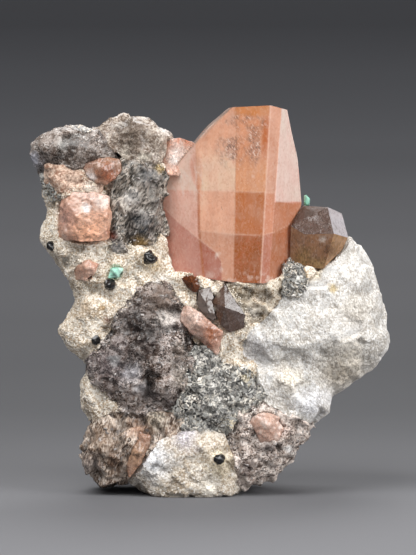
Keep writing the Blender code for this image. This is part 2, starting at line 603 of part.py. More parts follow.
ROCK_MASSES = {
    "albite_cap": (ALBITE_CAP, "albite", 80, 0.4, 0.5),
    "smoky_quartz_upper_left": (QUARTZ_UPPER_LEFT, "smoky_quartz_mass", 300, ROCK_ROUGHNESS, ROCK_GRID),
    "smoky_quartz_top": (QUARTZ_TOP, "smoky_quartz_mass", 220, ROCK_ROUGHNESS, ROCK_GRID),
    "smoky_quartz_column": (QUARTZ_COLUMN, "smoky_quartz_mass", 220, ROCK_ROUGHNESS, ROCK_GRID),
    "smoky_quartz_mass": (QUARTZ_MASS, "smoky_quartz_mass", 340, ROCK_ROUGHNESS, ROCK_GRID),
    "smoky_quartz_lower_left": (QUARTZ_LOWER_LEFT, "smoky_quartz_mass", 260, ROCK_ROUGHNESS, ROCK_GRID),
    "smoky_quartz_lower_right": (QUARTZ_LOWER_RIGHT, "smoky_quartz_mass", 260, ROCK_ROUGHNESS, ROCK_GRID),
    "quartz_vein": (QUARTZ_VEIN, "smoky_quartz_mass", 140, 0.7, 0.9),
    "mica_patch": (MICA_PATCH, "mica", 180, 0.9, 0.8),
    "mica_patch_right": (MICA_PATCH_RIGHT, "mica", 90, 0.6, 0.7),
    "feldspar_peach": (FELDSPAR_PEACH, "peach_feldspar", 120, 0.8, 0.8),
    "feldspar_foot": (FELDSPAR_FOOT, "feldspar", 280, ROCK_ROUGHNESS, ROCK_GRID),
    "feldspar_block": (FELDSPAR_BLOCK, "feldspar", 420, ROCK_ROUGHNESS, ROCK_GRID),
    "albite_matrix": (ALBITE_MATRIX, "albite", 1100, ROCK_ROUGHNESS, ROCK_GRID),
}


def build():
    """Make every piece, then cut each one back by the neighbours that grew before it."""
    for item in list(bpy.data.objects):
        bpy.data.objects.remove(item, do_unlink=True)
    parts = bpy.data.collections.new(OBJECT_NAME)
    cutters = bpy.data.collections.new("cutters")
    bpy.context.scene.collection.children.link(parts)
    bpy.context.scene.collection.children.link(cutters)
    materials = {name: colour_material(name, *finish) for name, finish in MATERIALS.items()}

    grown = []
    swept = []

    def grow(solid):
        """Cut a new crystal back by the earlier ones, and keep its cutters for what comes later."""
        cutter = grown_copy(solid, cutters)
        cut_by(solid, grown)
        grown.append(cutter)
        swept.append(swept_copy(cutter, cutters))

    def settle(solid):
        """Cut a new mass of rock back by all that came before, and off flat at the foot."""
        cutter = grown_copy(solid, cutters)
        cut_by(solid, swept)
        cut_below(solid, FOOT_CUT)
        swept.append(cutter)

    for name, (faces, material) in FACED_CRYSTALS.items():
        grow(faced_crystal(name, faces, parts, materials[material]))
    for name, (corners, material) in SMALL_CRYSTALS.items():
        grow(crystal(name, corners, parts, materials[material]))
    for name, shape in BLACK_CRYSTALS.items():
        grow(six_sided_crystal(name, *shape, parts, materials["black_tourmaline"]))
    for name, (boulders, material, triangles, roughness, grid) in ROCK_MASSES.items():
        settle(rock(name, boulders, triangles, parts, materials[material], roughness, grid))


build()
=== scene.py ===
"""Finished looks of the topaz specimen: its crystals, its rock and the light that it stands in.

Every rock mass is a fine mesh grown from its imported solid, roughened by layers of relief and dressed
in a mineral finish.  Every clear crystal keeps its flat faces, gets growth lines on them and lets
light through by transmission and absorption.  Lengths are millimetres unless a name ends in _m.
"""

import logging
import math
from dataclasses import dataclass
from enum import Enum

import bmesh
import bpy
import numpy as np
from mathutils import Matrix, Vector
from mathutils.bvhtree import BVHTree


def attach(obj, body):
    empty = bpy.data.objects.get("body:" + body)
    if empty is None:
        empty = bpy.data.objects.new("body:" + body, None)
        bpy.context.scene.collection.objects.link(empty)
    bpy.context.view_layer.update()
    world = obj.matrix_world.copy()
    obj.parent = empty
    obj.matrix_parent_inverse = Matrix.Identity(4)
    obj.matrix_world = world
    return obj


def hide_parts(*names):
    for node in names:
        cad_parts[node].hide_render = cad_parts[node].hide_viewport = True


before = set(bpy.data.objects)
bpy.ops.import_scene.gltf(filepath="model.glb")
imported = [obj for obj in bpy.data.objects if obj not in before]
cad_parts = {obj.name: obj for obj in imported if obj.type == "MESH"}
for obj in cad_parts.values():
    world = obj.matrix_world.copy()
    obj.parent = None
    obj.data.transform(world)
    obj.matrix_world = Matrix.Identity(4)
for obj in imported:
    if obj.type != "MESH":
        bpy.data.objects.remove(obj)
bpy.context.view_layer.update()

MM = 0.001
TINY = 1e-6
BODY = "root"

# The eye that heights are read by: it looks down by this slope, from the front edge of the foot
VIEW_SLOPE = 0.087
FOOT_FRONT = -10.0

# The width of the smallest glassy chips that the finishes draw, and of the topaz's pale lines of painted
# highlight
CHIP = 0.33
LINE = 0.2

Colour = tuple[float, float, float]
log = logging.getLogger("topaz_specimen")


def linear(code: str) -> Colour:
    """Turn an sRGB colour such as "e0c8a0" into the linear colour that shaders take.

    Args:
        code: two hexadecimal digits each of red, green and blue.

    Returns:
        The linear colour.
    """
    shares = [int(code[at:at + 2], 16) / 255.0 for at in (0, 2, 4)]
    return tuple(share / 12.92 if share <= 0.04045 else ((share + 0.055) / 1.055) ** 2.4 for share in shares)


def shades(codes: str) -> list[Colour]:
    """Turn several sRGB colours, with spaces between them, into linear ones."""
    return [linear(code) for code in codes.split()]


def heights(points: np.ndarray) -> np.ndarray:
    """Read heights the way the eye in front of the stone does.

    Args:
        points: places in millimetres, one a row.

    Returns:
        The height of each place as it shows from the front.
    """
    return points[:, 2] + (points[:, 1] - FOOT_FRONT) * VIEW_SLOPE


class Lattice:
    """Repeatable noise on a lattice of cells, for relief and for where small things grow."""

    @staticmethod
    def chance(cells: np.ndarray, seed: int) -> np.ndarray:
        """Give each cell its own number.

        Args:
            cells: whole-numbered cells, in the last axis of 3.
            seed: the pattern's own number.

        Returns:
            Numbers from 0 to 1, one a cell.
        """
        keys = cells.astype(np.int64).astype(np.uint32)
        mixed = keys[..., 0] * np.uint32(0x8DA6B343)
        mixed ^= keys[..., 1] * np.uint32(0xD8163841)
        mixed ^= keys[..., 2] * np.uint32(0xCB1AB31F)
        mixed ^= np.uint32((seed * 0x9E3779B9 + 0x7F4A7C15) & 0xFFFFFFFF)
        for shift, factor in ((15, 0x2C1B3C6D), (12, 0x297A2D39)):
            mixed = (mixed ^ (mixed >> np.uint32(shift))) * np.uint32(factor)
        mixed ^= mixed >> np.uint32(15)
        return mixed / 2.0 ** 32

    @staticmethod
    def smooth(points: np.ndarray, size: float, seed: int) -> np.ndarray:
        """Smooth noise of one size.

        Args:
            points: places in millimetres.
            size: the width of a bump.
            seed: the pattern's own number.

        Returns:
            Noise from -1 to 1 at each place.
        """
        scaled = points / size
        base = np.floor(scaled)
        share = scaled - base
        share = share * share * (3.0 - 2.0 * share)
        total = np.zeros(len(points))
        for corner in np.ndindex(2, 2, 2):
            weight = np.ones(len(points))
            for axis in range(3):
                weight *= share[:, axis] if corner[axis] else 1.0 - share[:, axis]
            total += weight * Lattice.chance(base + np.array(corner), seed)
        return total * 2.0 - 1.0

    @staticmethod
    def layered(points: np.ndarray, size: float, seed: int, layers: int = 3) -> np.ndarray:
        """Smooth noise with finer and fainter noise on top.

        Args:
            points: places in millimetres.
            size: the width of the widest bump.
            seed: the pattern's own number.
            layers: how many sizes there are.

        Returns:
            Noise of about -1 to 1 at each place.
        """
        total = np.zeros(len(points))
        for layer in range(layers):
            total += Lattice.smooth(points, size / 2.0 ** layer, seed + 17 * layer) / 2.0 ** layer
        return total

    @staticmethod
    def nearest_cells(points: np.ndarray, size: float, seed: int, count: int) -> tuple[np.ndarray, ...]:
        """Find the scattered cell centres nearest to each place.

        Args:
            points: places in millimetres.
            size: the spacing of the centres.
            seed: the pattern's own number.
            count: how many centres to give for each place.

        Returns:
            Distances in cell sizes, offsets from the centres and the centres' cells, nearest first.
        """
        scaled = (points / size).astype(np.float32)
        base = np.floor(scaled)
        around = np.array(list(np.ndindex(3, 3, 3)), dtype=np.float32) - 1.0
        cells = base[:, None, :] + around[None, :, :]
        jitter = np.stack([Lattice.chance(cells, seed + 101 * axis) for axis in range(3)], axis=-1)
        offsets = scaled[:, None, :] - (cells + jitter.astype(np.float32))
        distances = np.linalg.norm(offsets, axis=2)
        order = np.argpartition(distances, count, axis=1)[:, :count]
        rows = np.arange(len(points))[:, None]
        inner = np.argsort(distances[rows, order], axis=1)
        order = order[rows, inner]
        return distances[rows, order], offsets[rows, order], cells[rows, order]


class Relief:
    """A layer of relief on a rough surface."""

    def height(self, points: np.ndarray) -> np.ndarray:
        """How far each place moves out, in millimetres."""
        raise NotImplementedError


class CellRelief(Relief):
    """A layer of relief made of cells, such as grains or the faces of a break."""

    size: float
    seed: int

    def cells(self, points: np.ndarray, count: int) -> tuple[np.ndarray, ...]:
        """The cells nearest to each place: distances, offsets and the cells themselves."""
        return Lattice.nearest_cells(points, self.size, self.seed, count)

    def own_and_rim(self, points: np.ndarray, rim: float) -> tuple[np.ndarray, np.ndarray]:
        """Each place's own number by its cell, and how near it is to the cell's rim.

        Args:
            points: places in millimetres.
            rim: the rim's width in millimetres.

        Returns:
            The cell's number from 0 to 1, and 1 on the rim falling to 0 inside.
        """
        distances, _, cells = self.cells(points, 2)
        edge = (distances[:, 1] - distances[:, 0]) * self.size
        return Lattice.chance(cells[:, 0], self.seed + 77), np.clip(1.0 - edge / rim, 0.0, 1.0)


@dataclass(frozen=True)
class Lumps(Relief):
    """Soft lumps and hollows."""

    size: float
    depth: float
    seed: int = 1
    layers: int = 3

    def height(self, points: np.ndarray) -> np.ndarray:
        """How far each place moves out, in millimetres."""
        return self.depth * Lattice.layered(points, self.size, self.seed, self.layers)


@dataclass(frozen=True)
class BrokenFaces(CellRelief):
    """Flat faces that a break leaves, each tilted its own way, with a step between two of them."""

    size: float
    slope: float
    step: float
    seed: int = 2
    sharpness: float = 16.0
    faces: int = 3
    bend: float = 0.22

    def cells(self, points: np.ndarray, count: int) -> tuple[np.ndarray, ...]:
        """Find the faces nearest to each place, with bent borders between them.

        Args:
            points: places in millimetres.
            count: how many faces to give for each place.

        Returns:
            Distances in face sizes, offsets from the faces' centres and the faces' own cells.
        """
        warp = [Lattice.smooth(points, self.size * 0.6, self.seed + 7 * axis) for axis in range(3)]
        return super().cells(points + np.stack(warp, 1) * self.size * self.bend, count)

    def height(self, points: np.ndarray) -> np.ndarray:
        """Work out how far each place moves out.

        Args:
            points: places in millimetres.

        Returns:
            The move of each place, in millimetres.
        """
        distances, offsets, cells = self.cells(points, self.faces)
        tilt = [Lattice.chance(cells, self.seed + 31 * (axis + 1)) * 2.0 - 1.0 for axis in range(3)]
        planes = (np.stack(tilt, axis=-1) * offsets).sum(axis=2) * self.slope * self.size
        planes += (Lattice.chance(cells, self.seed + 5) * 2.0 - 1.0) * self.step
        weights = np.exp(-self.sharpness * (distances - distances[:, :1]))
        return (weights * planes).sum(axis=1) / weights.sum(axis=1)


@dataclass(frozen=True)
class Sugar(CellRelief):
    """Rounded grains packed side by side, as in sugary albite."""

    size: float
    depth: float
    seed: int = 3

    def height(self, points: np.ndarray) -> np.ndarray:
        """Work out how far each place moves out.

        Args:
            points: places in millimetres.

        Returns:
            The move of each place, in millimetres.
        """
        distances, _, cells = self.cells(points, 1)
        own = Lattice.chance(cells[:, 0], self.seed + 9)
        return self.depth * (0.55 - distances[:, 0]) * (0.4 + 1.2 * own)


@dataclass(frozen=True)
class Grooves(Relief):
    """Growth grooves and ridges that run one way."""

    along: tuple[float, float, float]
    size: float
    depth: float
    stretch: float = 7.0
    seed: int = 4

    def height(self, points: np.ndarray) -> np.ndarray:
        """Work out how far each place moves out.

        Args:
            points: places in millimetres.

        Returns:
            The move of each place, in millimetres.
        """
        way = np.array(self.along) / np.linalg.norm(self.along)
        squeezed = points - np.outer(points @ way, way) * (1.0 - 1.0 / self.stretch)
        return self.depth * Lattice.layered(squeezed, self.size, self.seed, 2)


@dataclass(frozen=True)
class Spot:
    """A round place on the front of the stone, with soft edges."""

    x: float
    height: float
    radius: float
    strength: float = 1.0

    def cover(self, points: np.ndarray) -> np.ndarray:
        """How much of the spot each place has, from 0 to its strength.

        Args:
            points: places in millimetres.

        Returns:
            The share at each place.
        """
        apart = np.hypot(points[:, 0] - self.x, heights(points) - self.height)
        apart = apart * (1.0 + 0.35 * Lattice.layered(points, self.radius * 0.6, 61, 3))
        return self.strength * np.clip(1.3 - apart / self.radius, 0.0, 1.0)


@dataclass(frozen=True)
class Patch:
    """A spot with a tone of its own."""

    spot: Spot
    tone: Colour


def patch(x: float, height: float, radius: float, code: str, strength: float = 0.7) -> Patch:
    """Make a patch of an sRGB tone at a place on the front of the stone."""
    return Patch(Spot(x, height, radius, strength), linear(code))


class MeshTools:
    """Small tools that every piece is built with."""

    @staticmethod
    def values(items: object, name: str, width: int = 1, kind: type = float) -> np.ndarray:
        """Read a property of all parts of one kind in a mesh.

        Args:
            items: the mesh's parts.
            name: the property's name.
            width: how many numbers a part has.
            kind: the kind of the numbers.

        Returns:
            A row of numbers a part.
        """
        flat = np.empty(len(items) * width, dtype=kind)
        items.foreach_get(name, flat)
        return flat.reshape(-1, width)

    @staticmethod
    def points_of(mesh: bpy.types.Mesh) -> np.ndarray:
        """A mesh's vertices in millimetres, one a row."""
        return MeshTools.values(mesh.vertices, "co", 3) / MM

    @staticmethod
    def normals_of(mesh: bpy.types.Mesh) -> np.ndarray:
        """A mesh's vertex normals, one a row."""
        return MeshTools.values(mesh.vertex_normals, "vector", 3)

    @staticmethod
    def move_to(mesh: bpy.types.Mesh, points: np.ndarray) -> None:
        """Put a mesh's vertices at places given in millimetres."""
        mesh.vertices.foreach_set("co", (points * MM).ravel())
        mesh.update()

    @staticmethod
    def stand(name: str, data: object) -> bpy.types.Object:
        """Put a mesh, a light or a camera into the scene.

        Args:
            name: the new object's name.
            data: what it shows.

        Returns:
            The new object.
        """
        piece = bpy.data.objects.new(name, data)
        bpy.context.scene.collection.objects.link(piece)
        return piece

    @staticmethod
    def copy_of(node: str, name: str) -> bpy.types.Object:
        """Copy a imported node's mesh into a new piece.

        Args:
            node: the node's name.
            name: the piece's name.

        Returns:
            The new piece.
        """
        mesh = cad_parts[node].data.copy()
        mesh.materials.clear()
        mesh.name = name
        return MeshTools.stand(name, mesh)

    @staticmethod
    def bake_modifiers(piece: bpy.types.Object) -> None:
        """Replace a piece's mesh by what its modifiers make of it.

        Args:
            piece: the piece.
        """
        graph = bpy.context.evaluated_depsgraph_get()
        graph.update()
        made = bpy.data.meshes.new_from_object(piece.evaluated_get(graph), depsgraph=graph)
        old = piece.data
        piece.modifiers.clear()
        piece.data = made
        made.name = piece.name
        bpy.data.meshes.remove(old)

    @staticmethod
    def refine(piece: bpy.types.Object, grid: float) -> None:
        """Rebuild a piece's mesh on an even fine grid.

        Args:
            piece: the piece.
            grid: the grid's size in millimetres.
        """
        remesh = piece.modifiers.new("even_grid", "REMESH")
        remesh.mode = "VOXEL"
        remesh.voxel_size = grid * MM
        MeshTools.bake_modifiers(piece)

    @staticmethod
    def touch(points: np.ndarray, others: "Surface", near: float = 0.45, far: float = 0.75,
              amount: float = 0.96) -> np.ndarray:
        """Bring places that lie close to other pieces up to them, so that no slit is left.

        Args:
            points: places in millimetres.
            others: the other pieces' surface.
            near: the gap up to which a place is brought all the way.
            far: the gap from which on it stays.
            amount: the share of the gap that is closed.

        Returns:
            The places after the move.
        """
        spots, _, gaps = others.nearest(points, far)
        share = np.clip((far - gaps) / (far - near), 0.0, 1.0)[:, None]
        return points + (spots - points) * share * amount

    @staticmethod
    def paint(mesh: bpy.types.Mesh, name: str, shares: np.ndarray) -> None:
        """Store shares a vertex as a colour attribute.

        Args:
            mesh: the mesh.
            name: the attribute's name.
            shares: one row of up to four numbers a vertex.
        """
        layer = mesh.color_attributes.new(name, "FLOAT_COLOR", "POINT")
        rows = np.ones((len(mesh.vertices), 4))
        rows[:, :shares.shape[1]] = shares
        layer.data.foreach_set("color", rows.ravel())

    @staticmethod
    def paint_patches(mesh: bpy.types.Mesh, points: np.ndarray, patches: tuple[Patch, ...]) -> None:
        """Store the tone of the patches at each place, and how much of it shows.

        Args:
            mesh: the mesh.
            points: its places in millimetres.
            patches: the patches, later ones on top.
        """
        rows = np.zeros((len(points), 4))
        for one in patches:
            cover = one.spot.cover(points)[:, None]
            rows = rows * (1.0 - cover) + np.array((*one.tone, 1.0)) * cover
        rows[:, :3] /= np.maximum(rows[:, 3:], TINY)
        MeshTools.paint(mesh, "patches", rows)


class Mineral(Enum):
    """The finishes that the pieces of the stone can have, by the record's slots."""

    TOPAZ = "topaz"
    SMOKY = "smoky_quartz"
    SMOKY_MASS = "smoky_quartz_mass"
    FELDSPAR = "feldspar"
    PEACH = "peach_feldspar"
    ALBITE = "albite"
    MICA = "mica"
    FLUORITE = "fluorite"
    BLACK = "black_crystal"


class Graph:
    """A material's node graph, with short calls for the nodes that the finishes are made of."""

    def __init__(self, name: str) -> None:
        """Start a material with a plain Principled shader.

        Args:
            name: the material's name.
        """
        self.material = bpy.data.materials.new(name)
        self.material.use_nodes = True
        self.tree = self.material.node_tree
        self.shader = self.tree.nodes["Principled BSDF"]
        self.output = self.tree.nodes["Material Output"]
        coordinates = self.node("TexCoord", {}).outputs["Object"]
        self.place = self.scaled(coordinates, (1.0 / MM,) * 3)

    def link(self, source: object, target: object) -> None:
        """Join a socket to another, or set it to a plain value.

        Args:
            source: a socket or a value.
            target: the socket that takes it.
        """
        if isinstance(source, bpy.types.NodeSocket):
            self.tree.links.new(source, target)
        elif isinstance(source, tuple) and len(source) == 3 and target.type == "RGBA":
            target.default_value = (*source, 1.0)
        else:
            target.default_value = source

    def node(self, kind: str, sockets: dict[object, object], **settings: object) -> bpy.types.Node:
        """Add a node.

        Args:
            kind: the node's type, without ShaderNode in front.
            sockets: what its inputs take, by their name or number.
            settings: what is set on the node itself.

        Returns:
            The node.
        """
        node = self.tree.nodes.new("ShaderNode" + kind)
        for name, value in settings.items():
            setattr(node, name, value)
        for socket, value in sockets.items():
            self.link(value, node.inputs[socket])
        return node

    def scaled(self, vector: object, factors: tuple[float, float, float]) -> object:
        """A vector with each part multiplied."""
        return self.node("VectorMath", {0: vector, 1: factors}, operation="MULTIPLY").outputs["Vector"]

    def turned(self, angles: tuple[float, float, float], squeeze: tuple[float, float, float]) -> object:
        """Turn the place and then squeeze it.

        Args:
            angles: the turn about X, Y and Z, in degrees.
            squeeze: what each part is multiplied by after the turn.

        Returns:
            The place turned and squeezed.
        """
        turn = tuple(math.radians(angle) for angle in angles)
        mapping = self.node("Mapping", {"Vector": self.place, "Rotation": turn})
        return self.scaled(mapping.outputs["Vector"], squeeze)

    def noise(self, size: float, detail: float = 4.0, rough: float = 0.6, warp: float = 0.0,
              place: object = None) -> object:
        """Smooth noise from 0 to 1.

        Args:
            size: its width in millimetres.
            detail: how many finer layers it has.
            rough: how strong the finer layers are.
            warp: how much it is bent.
            place: the place to read, if not the plain one.

        Returns:
            The noise.
        """
        sockets = {"Vector": place or self.place, "Scale": 1.0 / size, "Detail": detail}
        sockets.update({"Roughness": rough, "Distortion": warp})
        return self.node("TexNoise", sockets).outputs["Fac"]

    def chips(self, size: float, place: object = None) -> object:
        """Chips of a size in millimetres, each with a number of its own from 0 to 1."""
        cells = self.node("TexVoronoi", {"Vector": place or self.place, "Scale": 1.0 / size})
        return self.channels(cells.outputs["Color"])[0]

    def channels(self, colour: object) -> tuple[object, ...]:
        """The three channels of a colour."""
        return tuple(self.node("SeparateColor", {"Color": colour}).outputs)

    def grey(self, value: object) -> object:
        """A value as a grey colour."""
        return self.node("CombineColor", {0: value, 1: value, 2: value}).outputs["Color"]

    def sum(self, *shares: tuple[float, object]) -> object:
        """Add values up, each by its share.

        Args:
            shares: the shares and the values.

        Returns:
            The sum.
        """
        total = 0.0
        for share, value in shares:
            total = self.math("ADD", self.math("MULTIPLY", value, share), total)
        return total

    def attribute(self, name: str, output: str = "Color") -> object:
        """A colour stored on the mesh."""
        return self.node("Attribute", {}, attribute_name=name).outputs[output]

    def patched(self, ground: object, value: object) -> object:
        """Lay the mesh's own patches over a ground, with the ground's light and dark kept.

        Args:
            ground: the ground's colour.
            value: its light and dark.

        Returns:
            The colour with the patches.
        """
        light = self.grey(self.band(value, 0.38, 0.60, 0.60, 1.30))
        toned = self.mix(1.0, self.attribute("patches"), light, "MULTIPLY")
        broken = self.band(self.noise(1.1, 5.0, 0.72), 0.36, 0.58, 0.68, 1.15)
        return self.mix(self.times(self.attribute("patches", "Alpha"), broken), ground, toned)

    def shade_in_hollows(self, colour: object, hollow: object, darkest: float) -> object:
        """A colour made darker in the hollows of the relief: painted shade."""
        return self.mix(1.0, colour, self.grey(self.band(hollow, 0.0, 0.5, darkest, 1.0)), "MULTIPLY")

    def threads(self, noise: object, width: float, core: float = 0.0, most: float = 1.0) -> object:
        """Thin threads where a noise passes its middle."""
        away = self.math("ABSOLUTE", self.math("SUBTRACT", noise, 0.5))
        return self.band(away, width, core, 0.0, most)

    def band(self, value: object, low: float, high: float, to_low: float = 0.0,
             to_high: float = 1.0) -> object:
        """A value spread from one range to another and kept inside it."""
        sockets = {"Value": value, "From Min": low, "From Max": high, "To Min": to_low, "To Max": to_high}
        return self.node("MapRange", sockets).outputs["Result"]

    def math(self, operation: str, first: object, second: object = 0.0) -> object:
        """Two values put through an operation."""
        return self.node("Math", {0: first, 1: second}, operation=operation).outputs["Value"]

    def times(self, first: object, second: object) -> object:
        """Two values multiplied."""
        return self.math("MULTIPLY", first, second)

    def mix(self, share: object, first: object, second: object, blend: str = "MIX") -> object:
        """Two colours mixed by a share of the second."""
        sockets = {"Factor": share, 6: first, 7: second}
        return self.node("Mix", sockets, data_type="RGBA", blend_type=blend).outputs[2]

    def ramp(self, value: object, *stops: tuple[float, Colour]) -> object:
        """Turn a value into a colour by stops.

        Args:
            value: the value.
            stops: the places of the stops and their colours.

        Returns:
            The colour.
        """
        node = self.node("ValToRGB", {"Fac": value})
        elements = node.color_ramp.elements
        while len(elements) < len(stops):
            elements.new(0.5)
        for element, (position, colour) in zip(elements, stops):
            element.position = position
            element.color = (*colour, 1.0)
        return node.outputs["Color"]

    def bump(self, height: object, distance: float, strength: float = 1.0,
             normal: object = None) -> object:
        """Bump a normal.

        Args:
            height: the height from 0 to 1.
            distance: its depth in millimetres.
            strength: how much of the bump shows.
            normal: the normal underneath, if not the plain one.

        Returns:
            The bumped normal.
        """
        sockets = {"Distance": distance * MM, "Strength": strength, "Height": height}
        if normal is not None:
            sockets["Normal"] = normal
        return self.node("Bump", sockets).outputs["Normal"]

    def set(self, **values: object) -> None:
        """Set or join the shader's sockets, named with underscores for spaces."""
        for name, value in values.items():
            self.link(value, self.shader.inputs[name.replace("_", " ")])


@dataclass(frozen=True)
class Finish:
    """A finish that can dress a piece."""

    name: str
    mineral: Mineral

    def material(self) -> bpy.types.Material:
        """The finish's material, made once."""
        known = bpy.data.materials.get(self.name)
        return known if known is not None else self.build()

    def build(self) -> bpy.types.Material:
        """Build the material."""
        raise NotImplementedError

    def dress(self, piece: bpy.types.Object, node: str = "") -> None:
        """Give a piece this finish and its slot, and tie it to the stone's body.

        Args:
            piece: the piece.
            node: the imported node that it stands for, if any.
        """
        piece.data.materials.clear()
        piece.data.materials.append(self.material())
        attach(piece, BODY)
        if node:
            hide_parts(node)


@dataclass(frozen=True)
class SugaryFinish(Finish):
    """Granular feldspar or albite: fine pale grains, with dark specks between them."""

    light: Colour
    middle: Colour
    dark: Colour
    speck: Colour
    grain: float = 0.8
    specks: float = 0.5
    streak_degrees: float = 0.0
    streak: float = 1.0
    roughness: float = 0.6
    crisp: float = 0.34
    crispness: float = 0.20

    def build(self) -> bpy.types.Material:
        """Build the material.

        Returns:
            The material.
        """
        graph = Graph(self.name)
        hollow = graph.channels(graph.attribute("paint"))[0]
        own, gap, coarse = graph.channels(graph.attribute("grain"))
        run = graph.turned((0.0, self.streak_degrees, 0.0), (self.streak, 1.0, 1.0))
        mottle = graph.noise(self.grain * 7.0, 4.0, 0.6, 0.3, run)
        fine = graph.noise(self.grain * 0.8, 3.0, 0.75, 0.0, run)
        crisp = graph.chips(self.crisp, run)
        value = graph.sum((0.22, mottle), (0.34, fine), (0.12, own), (0.10, coarse), (self.crispness, crisp))
        value = graph.math("SUBTRACT", value, 0.5 * self.crispness - 0.11)
        ground = graph.ramp(value, (0.38, self.dark), (0.48, self.middle), (0.58, self.light))
        wide = graph.noise(self.grain * 9.0, 3.0, 0.6, 0.5)
        point = graph.noise(self.grain * 0.6, 2.0, 0.7, 0.0, run)
        spotty = graph.times(graph.band(point, 0.40, 0.33), graph.band(wide, 0.40, 0.60, 0.25, 1.0))
        tinted = graph.mix(graph.times(spotty, self.specks), ground, self.speck)
        tinted = graph.mix(graph.times(gap, 0.3), tinted, self.dark)
        tinted = graph.patched(tinted, value)
        # painted shade: darker in the hollows of the relief
        tinted = graph.shade_in_hollows(tinted, hollow, 0.68)
        normal = graph.bump(fine, 0.26, 0.9)
        graph.set(Base_Color=tinted, Normal=normal)
        graph.set(Roughness=graph.band(fine, 0.3, 0.7, self.roughness - 0.14, self.roughness + 0.14))
        graph.set(Specular_IOR_Level=0.45)
        return graph.material


@dataclass(frozen=True)
class SmokyMassFinish(Finish):
    """Broken cloudy smoky quartz: dark glassy patches, mauve-grey frosted ones and white rims."""

    dark: Colour
    middle: Colour
    frost: Colour
    rim: Colour
    patch: float = 5.0
    rims: float = 0.45
    frosting: float = 0.6
    streak_degrees: float = 0.0
    streak: float = 1.0
    level: float = 0.0

    def build(self) -> bpy.types.Material:
        """Build the material.

        Returns:
            The material.
        """
        graph = Graph(self.name)
        hollow = graph.channels(graph.attribute("paint"))[0]
        own, rim, coarse = graph.channels(graph.attribute("grain"))
        run = graph.turned((0.0, self.streak_degrees, 0.0), (self.streak, 1.0, 1.0))
        pool = graph.noise(self.patch * 1.5, 3.0, 0.55, 1.2, run)
        cloud = graph.noise(self.patch * 0.5, 5.0, 0.68, 0.8, run)
        grit = graph.noise(0.5, 3.0, 0.78, 0.0, run)
        crisp = graph.chips(CHIP, run)
        calm = graph.band(graph.noise(self.patch * 0.8, 4.0, 0.6, 1.6, run), 0.50, 0.56)
        fine = graph.math("SUBTRACT", graph.sum((0.18, grit), (0.34, crisp)), 0.26)
        fine = graph.times(fine, graph.band(calm, 0.0, 1.0, 1.1, 0.35))
        value = graph.sum(
            (0.34, pool), (0.22, cloud), (0.10, own), (0.12, coarse), (1.0, fine), (-0.035, calm))
        value = graph.math("ADD", value, self.level + 0.115)
        ground = graph.ramp(value, (0.38, self.dark), (0.50, self.middle), (0.62, self.frost))
        frosty = graph.band(graph.noise(self.patch * 0.7, 4.0, 0.6, 1.0), 0.52, 0.64)
        frosty = graph.times(frosty, graph.band(grit, 0.42, 0.60))
        tinted = graph.mix(graph.times(frosty, self.frosting), ground, self.frost)
        wisp = graph.noise(self.patch * 0.6, 6.0, 0.68, 1.6, run)
        wisp = graph.threads(wisp, 0.022, 0.004)
        thread = graph.threads(graph.noise(1.8, 4.0, 0.6, 1.2, run), 0.03, 0.005, 0.8)
        wisp = graph.times(graph.math("MAXIMUM", wisp, thread), graph.band(cloud, 0.44, 0.58))
        tinted = graph.mix(graph.times(wisp, 0.6), tinted, self.rim)
        broken = graph.band(graph.noise(1.5, 4.0, 0.7), 0.48, 0.60)
        rims = graph.times(graph.band(rim, 0.55, 0.95), broken)
        tinted = graph.mix(graph.times(rims, self.rims), tinted, self.rim)
        black = graph.times(graph.band(grit, 0.43, 0.35), graph.band(pool, 0.58, 0.42))
        tinted = graph.mix(graph.times(black, 0.75), tinted, self.dark)
        glint = graph.times(graph.band(crisp, 0.90, 0.93), graph.band(cloud, 0.42, 0.62))
        tinted = graph.mix(graph.times(glint, 0.8), tinted, self.rim)
        tinted = graph.patched(tinted, value)
        # painted shade: darker in the hollows of the relief
        tinted = graph.shade_in_hollows(tinted, hollow, 0.5)
        normal = graph.bump(cloud, 0.35, 0.4)
        normal = graph.bump(graph.times(crisp, graph.band(calm, 1.0, 0.0)), 0.05, 0.8, normal)
        graph.set(Base_Color=tinted, Normal=normal, Roughness=graph.band(value, 0.42, 0.60, 0.2, 0.55))
        graph.set(Specular_IOR_Level=0.35, IOR=1.54)
        return graph.material


